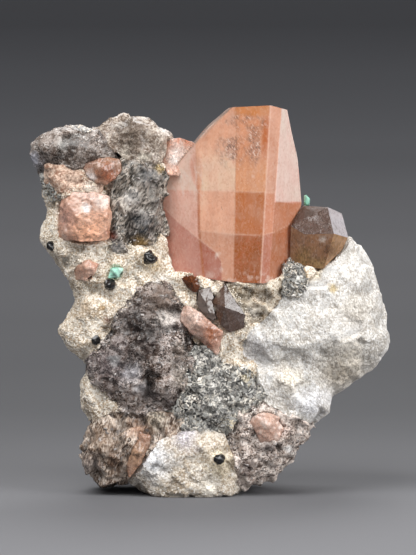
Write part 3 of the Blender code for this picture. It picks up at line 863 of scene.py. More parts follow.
@dataclass(frozen=True)
class ClearFinish(Finish):
    """Clear to cloudy crystal: light passes by transmission, and its thickness colours it."""

    tone: Colour
    deep: Colour
    pale: Colour
    absorb: Colour
    density: float
    ior: float
    clearness: float
    roughness: float = 0.08
    cloud: float = 2.5
    pale_share: float = 0.4
    deep_share: float = 0.6
    zoned: bool = False
    lines: float = 0.35
    line_angles: tuple[float, float, float] = (0.0, 0.0, 0.0)
    grain: float = 0.2
    fleck: Colour = (0.20, 0.145, 0.13)

    def build(self) -> bpy.types.Material:
        """Build the material.

        Returns:
            The material.
        """
        graph = Graph(self.name)
        ground = graph.attribute("tone") if self.zoned else self.tone
        etched, pale, dark = graph.channels(graph.attribute("paint"))
        cloud = graph.noise(self.cloud, 5.0, 0.62, 0.7)
        grit = graph.noise(0.5, 4.0, 0.7)
        crisp = graph.chips(CHIP, graph.turned(self.line_angles, (1.0, 1.0, 0.6)))
        tinted = graph.mix(graph.band(cloud, 0.54, 0.32, 0.0, self.deep_share), ground, self.deep)
        tinted = graph.mix(graph.band(crisp, 0.45, 0.0, 0.0, self.grain), tinted, self.deep)
        tinted = graph.mix(graph.band(crisp, 0.60, 1.0, 0.0, self.grain * 0.6), tinted, self.pale)
        veil = graph.threads(graph.noise(self.cloud * 0.8, 6.0, 0.72, 2.2), 0.05)
        wide = graph.band(graph.noise(self.cloud * 1.7, 3.0), 0.50, 0.66)
        share = graph.math("MAXIMUM", graph.times(veil, 0.7), wide)
        tinted = graph.mix(graph.times(share, self.pale_share), tinted, self.pale)
        tinted = graph.patched(tinted, graph.sum((0.7, cloud), (0.3, crisp)))
        darkened = graph.times(dark, graph.band(grit, 0.62, 0.40, 0.5, 1.0))
        tinted = graph.mix(darkened, tinted, self.deep)
        whitened = graph.times(pale, graph.band(grit, 0.38, 0.60, 0.5, 1.0))
        tinted = graph.mix(whitened, tinted, self.pale)
        dash = graph.noise(0.42, 2.0, 0.6, 0.4, graph.turned((0.0, 35.0, 0.0), (1.0, 1.0, 0.45)))
        tinted = graph.mix(graph.times(etched, 0.40), tinted, self.fleck)
        flecks = graph.times(etched, graph.band(dash, 0.54, 0.60, 0.0, 0.85))
        tinted = graph.mix(flecks, tinted, self.fleck)
        flecks = graph.times(etched, graph.band(dash, 0.45, 0.38, 0.0, 0.75))
        tinted = graph.mix(flecks, tinted, self.pale)
        ridges = graph.noise(1.3, 3.0, 0.6, 0.3, graph.turned(self.line_angles, (1.0, 1.0, 0.12)))
        normal = graph.bump(ridges, 0.12, self.lines)
        normal = graph.bump(grit, 0.03, 0.6, normal)
        graph.set(Base_Color=tinted, Normal=normal)
        graph.set(Roughness=graph.band(grit, 0.35, 0.7, self.roughness * 0.6, self.roughness * 1.7))
        graph.set(IOR=self.ior, Transmission_Weight=self.clearness)
        volume = graph.node("VolumeAbsorption", {"Color": self.absorb, "Density": self.density})
        graph.link(volume.outputs["Volume"], graph.output.inputs["Volume"])
        return graph.material


@dataclass(frozen=True)
class FlakyFinish(Finish):
    """Mica in flakes of many greys, some of them black, some of them shining."""

    dark: Colour
    middle: Colour
    light: Colour
    flake: float = 0.8
    darkness: float = 0.5

    def build(self) -> bpy.types.Material:
        """Build the material.

        Returns:
            The material.
        """
        graph = Graph(self.name)
        hollow = graph.channels(graph.attribute("paint"))[0]
        own, rim, coarse = graph.channels(graph.attribute("grain"))
        cloud = graph.noise(self.flake * 5.0, 5.0, 0.65, 0.8)
        grit = graph.noise(self.flake * 0.7, 4.0, 0.72, 0.4)
        crisp = graph.chips(0.34)
        value = graph.sum((0.50, cloud), (0.10, own), (0.32, grit), (0.38, crisp))
        value = graph.math("SUBTRACT", value, 0.15)
        tinted = graph.ramp(
            value, (self.darkness - 0.08, self.dark), (self.darkness - 0.01, self.middle),
            (self.darkness + 0.09, self.light))
        tinted = graph.patched(tinted, value)
        tinted = graph.mix(graph.times(rim, graph.band(coarse, 0.5, 0.8, 0.0, 0.5)), tinted, self.light)
        # painted shade: darker in the hollows of the relief
        tinted = graph.shade_in_hollows(tinted, hollow, 0.6)
        normal = graph.bump(grit, 0.18, 0.8)
        graph.set(Base_Color=tinted, Normal=normal, Roughness=graph.band(own, 0.0, 1.0, 0.25, 0.6))
        return graph.material


@dataclass(frozen=True)
class PlainGrainFinish(Finish):
    """Small grains or flakes, each with a tone of its own from a spread of two."""

    first: Colour
    second: Colour
    roughness: float = 0.45

    def build(self) -> bpy.types.Material:
        """Build the material.

        Returns:
            The material.
        """
        graph = Graph(self.name)
        own = graph.channels(graph.attribute("paint"))[0]
        fine = graph.noise(0.4, 3.0)
        tinted = graph.mix(own, self.first, self.second)
        tinted = graph.mix(graph.band(fine, 0.35, 0.65, 0.0, 0.35), tinted, self.second)
        graph.set(Base_Color=tinted, Roughness=self.roughness, Normal=graph.bump(fine, 0.05, 0.5))
        return graph.material


class Finishes:
    """The finishes of the stone's pieces."""

    BLOCK = SugaryFinish(
        "white_feldspar", Mineral.FELDSPAR, *shades("eceae7 dad5ce b0a89e 807a78"), grain=0.55, specks=0.6,
        streak_degrees=-59.5, streak=0.65, crisp=0.27, crispness=0.28)
    FOOT = SugaryFinish(
        "cream_feldspar", Mineral.FELDSPAR, *shades("eae2d6 d4c7b6 a4937e 745836"), grain=0.6, specks=0.7,
        crispness=0.30)
    ALBITE = SugaryFinish(
        "sugary_albite", Mineral.ALBITE, *shades("faf4e9 e4d6c2 b09a80 765630"), grain=0.6, specks=1.0,
        crispness=0.36)
    CAP = SugaryFinish(
        "white_albite", Mineral.ALBITE, *shades("d0cecb aaa6a2 76716e 544e4a"), grain=0.7, specks=0.8)
    PEACH = SugaryFinish(
        "peach_feldspar_grain", Mineral.PEACH, *shades("e4ccb8 c8a690 966e58 785848"), grain=0.7,
        specks=0.5)
    SMOKY_MASS = SmokyMassFinish(
        "smoky_quartz_broken", Mineral.SMOKY_MASS, *shades("1e140f 6e5b50 baada6 d8d2ce"), patch=5.0)
    SMOKY_UPPER = SmokyMassFinish(
        "smoky_quartz_dark_grey", Mineral.SMOKY_MASS, *shades("3a2e27 74645a a2968e e0dad4"), patch=4.0)
    SMOKY_TOP = SmokyMassFinish(
        "smoky_quartz_grey", Mineral.SMOKY_MASS, *shades("5c4a3c 8a786a b0a395 e6ded4"), patch=3.4,
        level=-0.012)
    COLUMN = SmokyMassFinish(
        "smoky_quartz_green_grey", Mineral.SMOKY_MASS, *shades("241f1a 6e6256 b4a79b d6d0c6"), patch=3.4,
        streak_degrees=55.0, streak=0.35)
    BROWN_MASS = SmokyMassFinish(
        "smoky_quartz_brown", Mineral.SMOKY_MASS, *shades("3a261a 8c7563 cebdad e0d6cc"), patch=3.2,
        streak_degrees=80.0, streak=0.4, level=0.03)
    MAUVE_MASS = SmokyMassFinish(
        "smoky_quartz_mauve", Mineral.SMOKY_MASS, *shades("362721 9c897d ded0c6 ece6e0"), patch=3.2,
        level=0.045)
    VEIN = SmokyMassFinish(
        "quartz_green_brown", Mineral.SMOKY_MASS, *shades("705c42 ac9880 d0c4b2 e8e2d6"), patch=2.4,
        level=0.025)
    MICA = FlakyFinish("mica_flakes", Mineral.MICA, *shades("1e1e20 968c80 f2ebde"))
    MICA_GREEN = FlakyFinish("mica_green_grey", Mineral.MICA, *shades("484238 a09484 d6cec2"), flake=0.6)
    SHEAF = FlakyFinish("mica_olive", Mineral.MICA, *shades("4e4432 928474 c4bcb0"), flake=0.8)
    TOPAZ = ClearFinish(
        "topaz_zoned", Mineral.TOPAZ, *shades("e2aa8c be704e f8e4d6"), absorb=(0.95, 0.74, 0.60),
        density=9.0, ior=1.62, clearness=0.30, roughness=0.10, cloud=3.4, pale_share=0.14, deep_share=0.18,
        zoned=True, lines=0.25, grain=0.20)
    PINK_TOPAZ = ClearFinish(
        "topaz_pink", Mineral.TOPAZ, *shades("e2b6a0 aa6e52 f8e8de"), absorb=(0.92, 0.68, 0.54),
        density=20.0, ior=1.62, clearness=0.35, roughness=0.26, cloud=1.8, pale_share=0.6, deep_share=0.4,
        grain=0.35)
    ORANGE_TOPAZ = ClearFinish(
        "topaz_orange", Mineral.TOPAZ, *shades("e4ae92 ac6844 f8e6d8"), absorb=(0.90, 0.62, 0.42),
        density=25.0, ior=1.62, clearness=0.35, roughness=0.34, cloud=1.8, pale_share=0.5, deep_share=0.4,
        lines=0.5, line_angles=(0.0, 84.0, 0.0), grain=0.35)
    BROWN_TOPAZ = ClearFinish(
        "topaz_brown", Mineral.TOPAZ, *shades("b28266 70442c e4cebe"), absorb=(0.85, 0.55, 0.38),
        density=30.0, ior=1.62, clearness=0.35, roughness=0.28, cloud=1.6, pale_share=0.4, deep_share=0.5,
        grain=0.35)
    SMOKY_CLEAR = ClearFinish(
        "smoky_quartz_clear", Mineral.SMOKY, *shades("8e7a6c 584234 c4b8b4"), absorb=(0.70, 0.56, 0.46),
        density=50.0, ior=1.54, clearness=0.45, roughness=0.07, cloud=2.6, pale_share=0.12, deep_share=0.45,
        zoned=True, grain=0.35)
    SMOKY_FROSTED = ClearFinish(
        "smoky_quartz_frosted", Mineral.SMOKY, *shades("76665e 584840 968c86"), absorb=(0.70, 0.58, 0.50),
        density=90.0, ior=1.54, clearness=0.35, roughness=0.16, cloud=2.0, pale_share=0.15, deep_share=0.4)
    RED_BROWN = ClearFinish(
        "quartz_red_brown", Mineral.SMOKY, *shades("68381e 321a12 aa6e46"), absorb=(0.75, 0.35, 0.2),
        density=200.0, ior=1.54, clearness=0.35, roughness=0.08, cloud=1.4, pale_share=0.3, deep_share=0.6)
    FLUORITE = ClearFinish(
        "fluorite_green", Mineral.FLUORITE, *shades("b2f6dc 7cd6b4 e8faf2"), absorb=(0.60, 0.92, 0.78),
        density=9.0, ior=1.43, clearness=0.3, roughness=0.12, cloud=1.2, pale_share=0.5, deep_share=0.4)
    BLACK = PlainGrainFinish("black_crystal_faces", Mineral.BLACK, *shades("121112 302e2e"), roughness=0.22)
    ALBITE_GRAINS = PlainGrainFinish("albite_grains", Mineral.ALBITE, *shades("f2ece0 c4b29a"))
    FELDSPAR_GRAINS = PlainGrainFinish("feldspar_grains", Mineral.FELDSPAR, *shades("ece9e5 beb6ac"))
    CHIPS = PlainGrainFinish("quartz_chips", Mineral.SMOKY_MASS, *shades("c4beba 544842"), roughness=0.18)
    MICA_FLAKES = PlainGrainFinish("mica_scales", Mineral.MICA, *shades("222224 c4c2bc"), roughness=0.22)


class Surface:
    """A surface to look up the nearest places on."""

    def __init__(self, mesh_data: list[bpy.types.Mesh]) -> None:
        """Gather meshes in one search tree.

        Args:
            mesh_data: the meshes, in metres.
        """
        corners: list[tuple[float, ...]] = []
        faces: list[tuple[int, ...]] = []
        normals: list[np.ndarray] = []
        for mesh in mesh_data:
            first = len(corners)
            corners += MeshTools.points_of(mesh).tolist()
            normals.append(MeshTools.normals_of(mesh))
            faces += [tuple(first + index for index in face.vertices) for face in mesh.polygons]
        self.tree = BVHTree.FromPolygons(corners, faces, all_triangles=False)
        all_normals = np.concatenate(normals)
        self.face_normals = np.array([all_normals[list(face)].mean(axis=0) for face in faces])

    def nearest(self, places: np.ndarray, reach: float) -> tuple[np.ndarray, np.ndarray, np.ndarray]:
        """Find the nearest place on the surface for each of many places.

        Args:
            places: places in millimetres.
            reach: how far to look.

        Returns:
            The nearest places, the smooth normals there and the distances, which are 2 reach where
            nothing is near.
        """
        spots = places.copy()
        normals = np.zeros_like(places)
        gaps = np.full(len(places), 2.0 * reach)
        find = self.tree.find_nearest
        for index, place in enumerate(places.tolist()):
            spot, _, face, gap = find(place, reach)
            if spot is not None:
                spots[index] = spot
                normals[index] = self.face_normals[face]
                gaps[index] = gap
        return spots, normals, gaps


@dataclass
class Skin:
    """The surface that all crystals and masses share, with the clefts between them filled."""

    grid: float = 0.8
    fill: float = 1.5
    smoothing: int = 5

    def build(self) -> Surface:
        """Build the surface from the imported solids.

        Returns:
            The surface.
        """
        builder = bmesh.new()
        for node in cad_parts.values():
            builder.from_mesh(node.data)
        mesh = bpy.data.meshes.new("skin")
        builder.to_mesh(mesh)
        builder.free()
        piece = MeshTools.stand("skin", mesh)
        for push in (self.fill, -self.fill):
            MeshTools.refine(piece, self.grid)
            points = MeshTools.points_of(piece.data)
            MeshTools.move_to(piece.data, points + MeshTools.normals_of(piece.data) * push)
        MeshTools.refine(piece, self.grid)
        smooth = piece.modifiers.new("soften", "SMOOTH")
        smooth.iterations = self.smoothing
        MeshTools.bake_modifiers(piece)
        surface = Surface([piece.data])
        bpy.data.objects.remove(piece)
        return surface


@dataclass
class RockMass:
    """One rough mass of rock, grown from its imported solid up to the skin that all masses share."""

    node: str
    finish: Finish
    reliefs: tuple[Relief, ...]
    grains: CellRelief
    blocks: CellRelief
    grid: float = 0.45
    swell: float = 0.14
    rim: float = 0.30
    glassy: bool = False
    patches: tuple[Patch, ...] = ()
    reach: float = 2.4
    hold: float = 1.5
    clear: float = 0.8

    @classmethod
    def broken(cls, node: str, finish: Finish, seed: int, coarse: float = 4.4, fine: float = 1.5,
               depth: float = 1.0, **rest: object) -> "RockMass":
        """A mass of broken quartz.

        Args:
            node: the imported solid's name.
            finish: its finish.
            seed: the pattern's own number.
            coarse: the width of its large broken faces, in millimetres.
            fine: the width of its small ones.
            depth: how strong its relief is.
            rest: any other size of the mass.

        Returns:
            The mass.
        """
        blocks = BrokenFaces(coarse, 0.34 * depth, 0.30 * depth, seed, 26.0)
        grains = BrokenFaces(fine, 0.36 * depth, 0.08 * depth, seed + 1, 22.0)
        reliefs = (blocks, grains, Lumps(0.9, 0.05, seed + 2, 2))
        return cls(node, finish, reliefs, grains, blocks, glassy=True, **rest)

    @classmethod
    def sugary(cls, node: str, finish: Finish, seed: int, coarse: float = 4.0, grain: float = 0.9,
               depth: float = 1.0, more: tuple[Relief, ...] = (), **rest: object) -> "RockMass":
        """A mass of sugary albite or feldspar.

        Args:
            node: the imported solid's name.
            finish: its finish.
            seed: the pattern's own number.
            coarse: the width of its clumps, in millimetres.
            grain: the width of its grains.
            depth: how strong its relief is.
            more: any further layers of relief.
            rest: any other size of the mass.

        Returns:
            The mass.
        """
        blocks = BrokenFaces(coarse, 0.26 * depth, 0.18 * depth, seed)
        grains = Sugar(grain, 0.34 * depth, seed + 1)
        reliefs = (blocks, grains, Lumps(2.2, 0.10 * depth, seed + 2, 2), *more)
        return cls(node, finish, reliefs, grains, blocks, **rest)

    def build(self, skin: Surface, crystals: Surface) -> bpy.types.Object:
        """Build and dress the mass.

        Args:
            skin: the surface that all masses share.
            crystals: the crystals' own surfaces.

        Returns:
            The finished piece.
        """
        piece = MeshTools.copy_of(self.node, self.node + "_rock")
        MeshTools.refine(piece, self.grid)
        base = MeshTools.points_of(piece.data)
        normals = MeshTools.normals_of(piece.data)
        neighbours = Surface([node.data for name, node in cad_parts.items() if name != self.node])
        base = MeshTools.touch(base, neighbours, near=0.9, far=1.6, amount=0.49)
        spots, outward, gaps = skin.nearest(base, self.reach)
        share = np.clip((self.reach - gaps) / (self.reach - self.hold), 0.0, 1.0)
        _, _, to_crystal = crystals.nearest(spots, self.clear)
        share *= np.clip((to_crystal - 0.15) / 0.3, 0.0, 1.0)
        facing = np.clip((normals * outward).sum(axis=1) + 0.6, 0.0, 1.0)
        share = (share * facing)[:, None]
        base = base * (1.0 - share) + spots * share
        base = MeshTools.touch(base, crystals)
        normals = normals * (1.0 - share) + outward * share
        normals /= np.maximum(np.linalg.norm(normals, axis=1), TINY)[:, None]
        total = np.sum([relief.height(base) for relief in self.reliefs], axis=0)
        room = np.clip(to_crystal / self.clear, 0.0, 1.0)
        grown = np.where(total > 0.0, total * room, total) + self.swell * room
        rough = base + normals * grown[:, None]
        rough[:, 2] = np.maximum(rough[:, 2], 0.0)
        MeshTools.move_to(piece.data, rough)
        self.paint(piece.data, base, total)
        (piece.data.shade_smooth if self.glassy else piece.data.shade_flat)()
        self.finish.dress(piece, self.node)
        return piece

    def paint(self, mesh: bpy.types.Mesh, points: np.ndarray, relief: np.ndarray) -> None:
        """Store how deep each place lies (for painted shade), which patches it has and which grain it belongs
        to.

        Args:
            mesh: the mass's mesh.
            points: its places before relief.
            relief: how far each was moved out.
        """
        spread = max(float(np.std(relief)), TINY)
        # the depth of each place, which the finishes turn into painted shade in the hollows
        hollow = np.clip(0.5 + 0.25 * relief / spread, 0.0, 1.0)
        MeshTools.paint(mesh, "paint", hollow[:, None])
        MeshTools.paint_patches(mesh, points, self.patches)
        own, rim = self.grains.own_and_rim(points, self.rim)
        coarse, _ = self.blocks.own_and_rim(points, self.rim)
        MeshTools.paint(mesh, "grain", np.stack([own, rim, coarse], axis=1))


@dataclass(frozen=True)
class LitFaceTone:
    """The tone of a crystal face, told by where the face looks: the crystal's own colour with painted
    reflection and shade.
    """

    toward: tuple[float, float, float]
    code: str


@dataclass
class ClearCrystal:
    """A crystal with flat faces and crisp edges, and faint growth relief on the faces.

    A worn crystal is rebuilt on an even grid, which rounds its edges off.
    """

    node: str
    finish: Finish
    edge: float = 0.5
    relief: tuple[Relief, ...] = (Lumps(2.2, 0.06, 11, 2), BrokenFaces(1.7, 0.16, 0.05, 14))
    patches: tuple[Patch, ...] = ()
    lit_face_tones: tuple[LitFaceTone, ...] = ()
    sharp_degrees: float = 6.0
    worn_grid: float = 0.0
    most_rounds: int = 11

    @classmethod
    def worn(cls, node: str, finish: Finish, seed: int, depth: float = 1.0, **rest: object) -> "ClearCrystal":
        """A crystal with broken, worn faces.

        Args:
            node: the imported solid's name.
            finish: its finish.
            seed: the pattern's own number.
            depth: how strong its relief is.
            rest: any other size of the crystal.

        Returns:
            The crystal.
        """
        relief = (
            Lumps(4.0, 0.12 * depth, seed, 2), BrokenFaces(3.0, 0.16 * depth, 0.10 * depth, seed + 1, 24.0),
            BrokenFaces(1.1, 0.20 * depth, 0.04 * depth, seed + 2))
        return cls(node, finish, relief=relief, worn_grid=0.28, **rest)

    def build(self, others: Surface | None = None) -> bpy.types.Object:
        """Build and dress the crystal.

        Args:
            others: the surface of crystals that it grows against.

        Returns:
            The finished piece.
        """
        piece = MeshTools.copy_of(self.node, self.node + "_crystal")
        if self.worn_grid:
            MeshTools.refine(piece, self.worn_grid)
        else:
            self.split(piece.data)
        if self.lit_face_tones:
            self.paint_lit_faces(piece.data)
        points = MeshTools.points_of(piece.data)
        normals = MeshTools.normals_of(piece.data)
        total = np.sum([relief.height(points) for relief in self.relief], axis=0)
        moved = points + normals * total[:, None]
        if others is not None:
            moved = MeshTools.touch(moved, others)
        MeshTools.move_to(piece.data, moved)
        self.paint(piece.data, points, normals)
        piece.data.shade_smooth()
        if not self.worn_grid:
            self.crease(piece.data)
        self.finish.dress(piece, self.node)
        return piece

    def paint_lit_faces(self, mesh: bpy.types.Mesh) -> None:
        """Store the tone of the crystal face that each corner belongs to, with its painted reflection and
        shade.

        Args:
            mesh: the crystal's mesh.
        """
        ways = np.array([face.toward for face in self.lit_face_tones])
        ways = ways / np.linalg.norm(ways, axis=1)[:, None]
        tones = np.array([(*linear(face.code), 1.0) for face in self.lit_face_tones])
        chosen = np.argmax(MeshTools.values(mesh.polygons, "normal", 3) @ ways.T, axis=1)
        sizes = MeshTools.values(mesh.polygons, "loop_total", 1, int)[:, 0]
        layer = mesh.color_attributes.new("tone", "FLOAT_COLOR", "CORNER")
        layer.data.foreach_set("color", tones[np.repeat(chosen, sizes)].ravel())

    def crease(self, mesh: bpy.types.Mesh) -> None:
        """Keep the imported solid's own edges crisp.

        Args:
            mesh: the crystal's mesh.
        """
        crisp = MeshTools.values(mesh.attributes["crisp"].data, "value")[:, 0] > 0.5
        layer = mesh.attributes.get("sharp_edge") or mesh.attributes.new("sharp_edge", "BOOLEAN", "EDGE")
        layer.data.foreach_set("value", crisp)

    def split(self, mesh: bpy.types.Mesh) -> None:
        """Split every long edge until the mesh is fine enough for relief.

        Args:
            mesh: the crystal's mesh.
        """
        builder = bmesh.new()
        builder.from_mesh(mesh)
        crisp = builder.edges.layers.float.new("crisp")
        for edge in builder.edges:
            angle = edge.calc_face_angle(math.pi) if edge.is_manifold else math.pi
            edge[crisp] = 1.0 if angle > math.radians(self.sharp_degrees) else 0.0
        for _ in range(self.most_rounds):
            long_edges = [edge for edge in builder.edges if edge.calc_length() > self.edge * MM]
            if not long_edges:
                break
            before = set(builder.edges)
            made = bmesh.ops.subdivide_edges(builder, edges=long_edges, cuts=1)
            halves = {item for item in made["geom_inner"] if isinstance(item, bmesh.types.BMEdge)}
            for edge in halves - before:
                edge[crisp] = 0.0
            bmesh.ops.triangulate(builder, faces=[face for face in builder.faces if len(face.verts) > 3])
        builder.to_mesh(mesh)
        builder.free()

    def paint(self, mesh: bpy.types.Mesh, points: np.ndarray, normals: np.ndarray) -> None:
        """Store the patches of each place.

        Args:
            mesh: the crystal's mesh.
            points: its places before relief.
            normals: the surface's normals there, not used here.
        """
        MeshTools.paint(mesh, "paint", np.zeros((len(points), 3)))
        MeshTools.paint_patches(mesh, points, self.patches)


@dataclass(frozen=True)
class Boundary:
    """A line across the front of a crystal, given by places that it runs through."""

    across: tuple[float, ...]
    up: tuple[float, ...]

    def right_of(self, points: np.ndarray) -> np.ndarray:
        """How far each place lies right of a steep line, in millimetres."""
        return points[:, 0] - np.interp(heights(points), self.up, self.across)

    def above(self, points: np.ndarray) -> np.ndarray:
        """How far each place lies above a level line, in millimetres."""
        return heights(points) - np.interp(points[:, 0], self.across, self.up)


class Coats:
    """The tones of many places, laid over each other in coats."""

    def __init__(self, count: int, code: str) -> None:
        """Start with one tone everywhere."""
        self.tone = np.tile(linear(code), (count, 1))

    def lay(self, share: np.ndarray, code: str) -> None:
        """Lay a tone over the tones so far.

        Args:
            share: how much of the tone each place takes.
            code: the sRGB tone.
        """
        self.tone = self.tone * (1.0 - share[:, None]) + np.array(linear(code)) * share[:, None]

    def lay_line(self, distance: np.ndarray, share: float | np.ndarray, code: str) -> None:
        """Lay a thin soft line where a distance passes 0.

        Args:
            distance: how far each place lies from the line, in millimetres.
            share: how much of the tone the line has.
            code: the sRGB tone.
        """
        self.lay(share * np.exp(-(distance / LINE) ** 2), code)


@dataclass
class MainTopaz(ClearCrystal):
    """The large topaz, with zones of growth colour and painted reflection and shade, and thin painted
    highlights between them.
    """

    strip: Boundary = Boundary((0.9, -0.25, -0.4, -0.95, -1.1), (54.9, 66.5, 76.5, 82.0, 86.0))
    middle: Boundary = Boundary((8.45, 8.9, 9.0), (54.0, 84.0, 97.0))
    band_left: Boundary = Boundary((15.05, 17.4), (54.0, 97.4))
    band_right: Boundary = Boundary((17.1, 20.2), (54.0, 96.8))
    waterline: Boundary = Boundary((0.5, 8.4, 15.4, 18.5, 20.5, 22.5), (66.5, 65.6, 65.3, 66.2, 67.2, 68.3))
    shoulder: Boundary = Boundary((-9.3, 17.0), (77.0, 76.0))
    shadow: Boundary = Boundary(
        (-9.4, -5.5, -3.3, -0.3, 3.8, 5.3, 5.9), (72.8, 68.8, 67.0, 64.5, 61.3, 58.8, 54.0))
    slope: Boundary = Boundary((-7.4, -1.2, 7.4, 8.4), (81.8, 88.7, 97.4, 120.0))
    dome_foot: float = 73.7
    crown: float = 95.0

    def paint(self, mesh: bpy.types.Mesh, points: np.ndarray, normals: np.ndarray) -> None:
        """Store the tone and the marks of each place.

        Args:
            mesh: the crystal's mesh.
            points: its places before relief.
            normals: the surface's normals there.
        """
        MeshTools.paint(mesh, "tone", self.tones(points, normals))
        MeshTools.paint(mesh, "paint", self.marks(points, normals))
        MeshTools.paint_patches(mesh, points, self.patches)

    @staticmethod
    def past(distance: np.ndarray, softness: float | np.ndarray = 0.5) -> np.ndarray:
        """A share of 0 before a line and 1 past it, with a soft step.

        Args:
            distance: how far past the line each place lies, in millimetres.
            softness: the step's width.

        Returns:
            The share of each place.
        """
        share = np.clip(0.5 + distance / softness, 0.0, 1.0)
        return share * share * (3.0 - 2.0 * share)

    def tones(self, points: np.ndarray, normals: np.ndarray) -> np.ndarray:
        """Work out the tone of each place.

        Args:
            points: the places in millimetres.
            normals: the surface's normals there.

        Returns:
            A linear colour a place.
        """
        cloudy = Lattice.layered(points, 5.0, 131, 4)
        streaky = Lattice.layered(points * np.array((1.0, 1.0, 0.1)), 0.8, 132, 2)
        coats = Coats(len(points), "eab8a6")
        low = self.past(-self.waterline.above(points), 0.5)
        self.lay_front(coats, points, low)
        self.lay_bands(coats, points, low)
        self.lay_edge_highlights(coats, points)
        coats.lay(np.clip(normals[:, 1] * 3.0, 0.0, 1.0), "d8a084")
        return np.clip(coats.tone * (1.18 + 0.10 * cloudy + 0.07 * streaky)[:, None], 0.0, 0.96)

    def lay_front(self, coats: Coats, points: np.ndarray, low: np.ndarray) -> None:
        """Lay the tones of the broad front zones.

        Args:
            coats: the tones so far.
            points: the places in millimetres.
            low: how much each place lies below the waterline.
        """
        up, past = heights(points), self.past
        right = past(self.strip.right_of(points), 0.3)
        far = past(self.middle.right_of(points), 0.5)
        high = past(self.shoulder.above(points), 0.6)
        # zone tones: the topaz's growth colour together with painted reflection and shade of each face
        coats.lay(high, "fac8b6")
        coats.lay(right, "e6ae90")
        coats.lay(right * high, "f4c6aa")
        coats.lay(right * past(up - 86.0, 9.0), "e0a686")
        coats.lay(right * low, "d39c80")
        coats.lay(far, "b56e42")
        coats.lay(far * high, "d99c74")
        coats.lay(far * past(up - 84.0, 7.0), "ce8f6a")
        coats.lay(far * low, "9a562a")
        dusk = past(-self.shadow.above(points), 0.6) * past(5.3 - points[:, 0], 0.8)
        coats.lay(dusk, "ca8f7f")
        coats.lay(dusk * right, "af6d5b")
        widening = np.interp(up, (54.0, 76.0, 82.0, 84.5, 88.0), (0.26, 0.30, 1.3, 1.1, 0.1))
        blur = np.interp(up, (76.0, 80.0), (0.3, 1.6))
        line = past(widening - np.abs(self.strip.right_of(points)), blur)
        coats.lay(line * past(86.0 - up, 5.0) * np.interp(up, (76.0, 80.0), (0.8, 0.5)), "b6683a")

    def lay_bands(self, coats: Coats, points: np.ndarray, low: np.ndarray) -> None:
        """Lay the tones of the wedge, the crown and the narrow bands on the right.

        Args:
            coats: the tones so far.
            points: the places in millimetres.
            low: how much each place lies below the waterline.
        """
        up, past = heights(points), self.past
        wedge = past(self.band_left.right_of(points) + 1.5, 0.8) * past(up - 85.0, 6.0)
        coats.lay(wedge * 0.8, "bc6838")
        crown = past(up - self.crown, 0.9) * past(points[:, 0] - 8.6, 1.2)
        coats.lay(crown, "c57e49")
        band = past(self.band_left.right_of(points), 0.25)
        coats.lay(band, "d09c82")
        coats.lay(band * past(76.0 - up, 1.0), "cc8a6a")
        coats.lay(band * low, "b4725a")
        outer = past(self.band_right.right_of(points), 0.25)
        side = past(self.dome_foot - up, 0.4)
        # the dome's pale pink is the topaz's peach with a painted reflection on it
        coats.lay(outer, "ffcec2")
        coats.lay(outer * side, "be7c5a")
        coats.lay(outer * side * low, "b06e4c")

    def lay_edge_highlights(self, coats: Coats, points: np.ndarray) -> None:
        """Lay the pale lines between the zones and along the slope, painted highlights on the faces' edges
        and steps.

        Args:
            coats: the tones so far.
            points: the places in millimetres.
        """
        past = self.past
        right = past(self.strip.right_of(points), 0.3)
        coats.lay_line(self.waterline.above(points), 0.3 * right, "f4d6c2")
        coats.lay_line(self.shoulder.above(points), 0.25, "f4d6c2")
        slope = self.slope.above(points)
        coats.lay(0.7 * past(slope + 0.9, 0.4), "bca08e")
        coats.lay(0.8 * past(slope + 0.25, 0.3), "f0d6c6")
        near_shadow = past(5.6 - points[:, 0], 0.8)
        coats.lay_line(self.shadow.above(points), 0.55 * near_shadow, "f0ceba")
        coats.lay_line(self.band_left.right_of(points), 0.45, "f6d6c2")

    def marks(self, points: np.ndarray, normals: np.ndarray) -> np.ndarray:
        """Work out the etched, the pale and the dark marks of each place.

        Args:
            points: the places in millimetres.
            normals: the surface's normals there.

        Returns:
            Three shares a place: etched, pale and dark.
        """
        up = heights(points)
        front = np.clip(-normals[:, 1] * 3.0, 0.0, 1.0)
        shares = np.zeros((len(points), 3))
        feathers = points * np.array((1.0, 1.0, 0.35)) + np.array((0.0, 0.0, 0.6)) * points[:, :1]
        veil = 1.1 - np.abs(Lattice.layered(feathers, 1.7, 141, 4)) * 4.0
        around = np.maximum(Spot(-4.6, 79.0, 5.0).cover(points), Spot(-3.0, 83.0, 3.0, 0.6).cover(points))
        pale = np.clip(veil, 0.0, 1.0) * around
        foot_chips = np.clip(Lattice.layered(points, 0.8, 144, 3) * 2.0, 0.0, 1.0)
        pale = np.maximum(pale, 0.5 * foot_chips * self.past(56.0 - up, 2.5))
        clusters = np.clip(Lattice.layered(points, 2.6, 142, 3) * 1.6 + 0.65, 0.0, 1.0)
        bands = (((11.0, 93.2), (5.4, 2.2)), ((8.2, 86.8), (4.0, 4.6)), ((13.4, 88.0), (1.8, 5.0)))
        for (x, height), (half_width, half_height) in bands:
            reach = np.hypot((points[:, 0] - x) / half_width, (up - height) / half_height)
            share = clusters * np.clip(2.0 - 1.6 * reach, 0.0, 1.0)
            shares[:, 0] = np.maximum(shares[:, 0], 0.8 * share * front)
        for chip in (Spot(4.3, 60.5, 0.7, 0.8), Spot(5.3, 56.8, 0.6, 0.6), Spot(13.2, 80.0, 0.4, 0.5)):
            pale = np.maximum(pale, chip.cover(points))
        crackle = 1.0 - np.abs(Lattice.layered(points, 1.7, 143, 4)) * 5.0
        low = self.past(-self.waterline.above(points), 1.0) * self.past(self.middle.right_of(points), 1.0)
        dark = np.clip(crackle, 0.0, 1.0) * low * self.past(-self.band_left.right_of(points), 0.5)
        shares[:, 1] = np.clip(pale * front, 0.0, 1.0)
        shares[:, 2] = np.clip(0.8 * dark * front, 0.0, 1.0)
        return shares


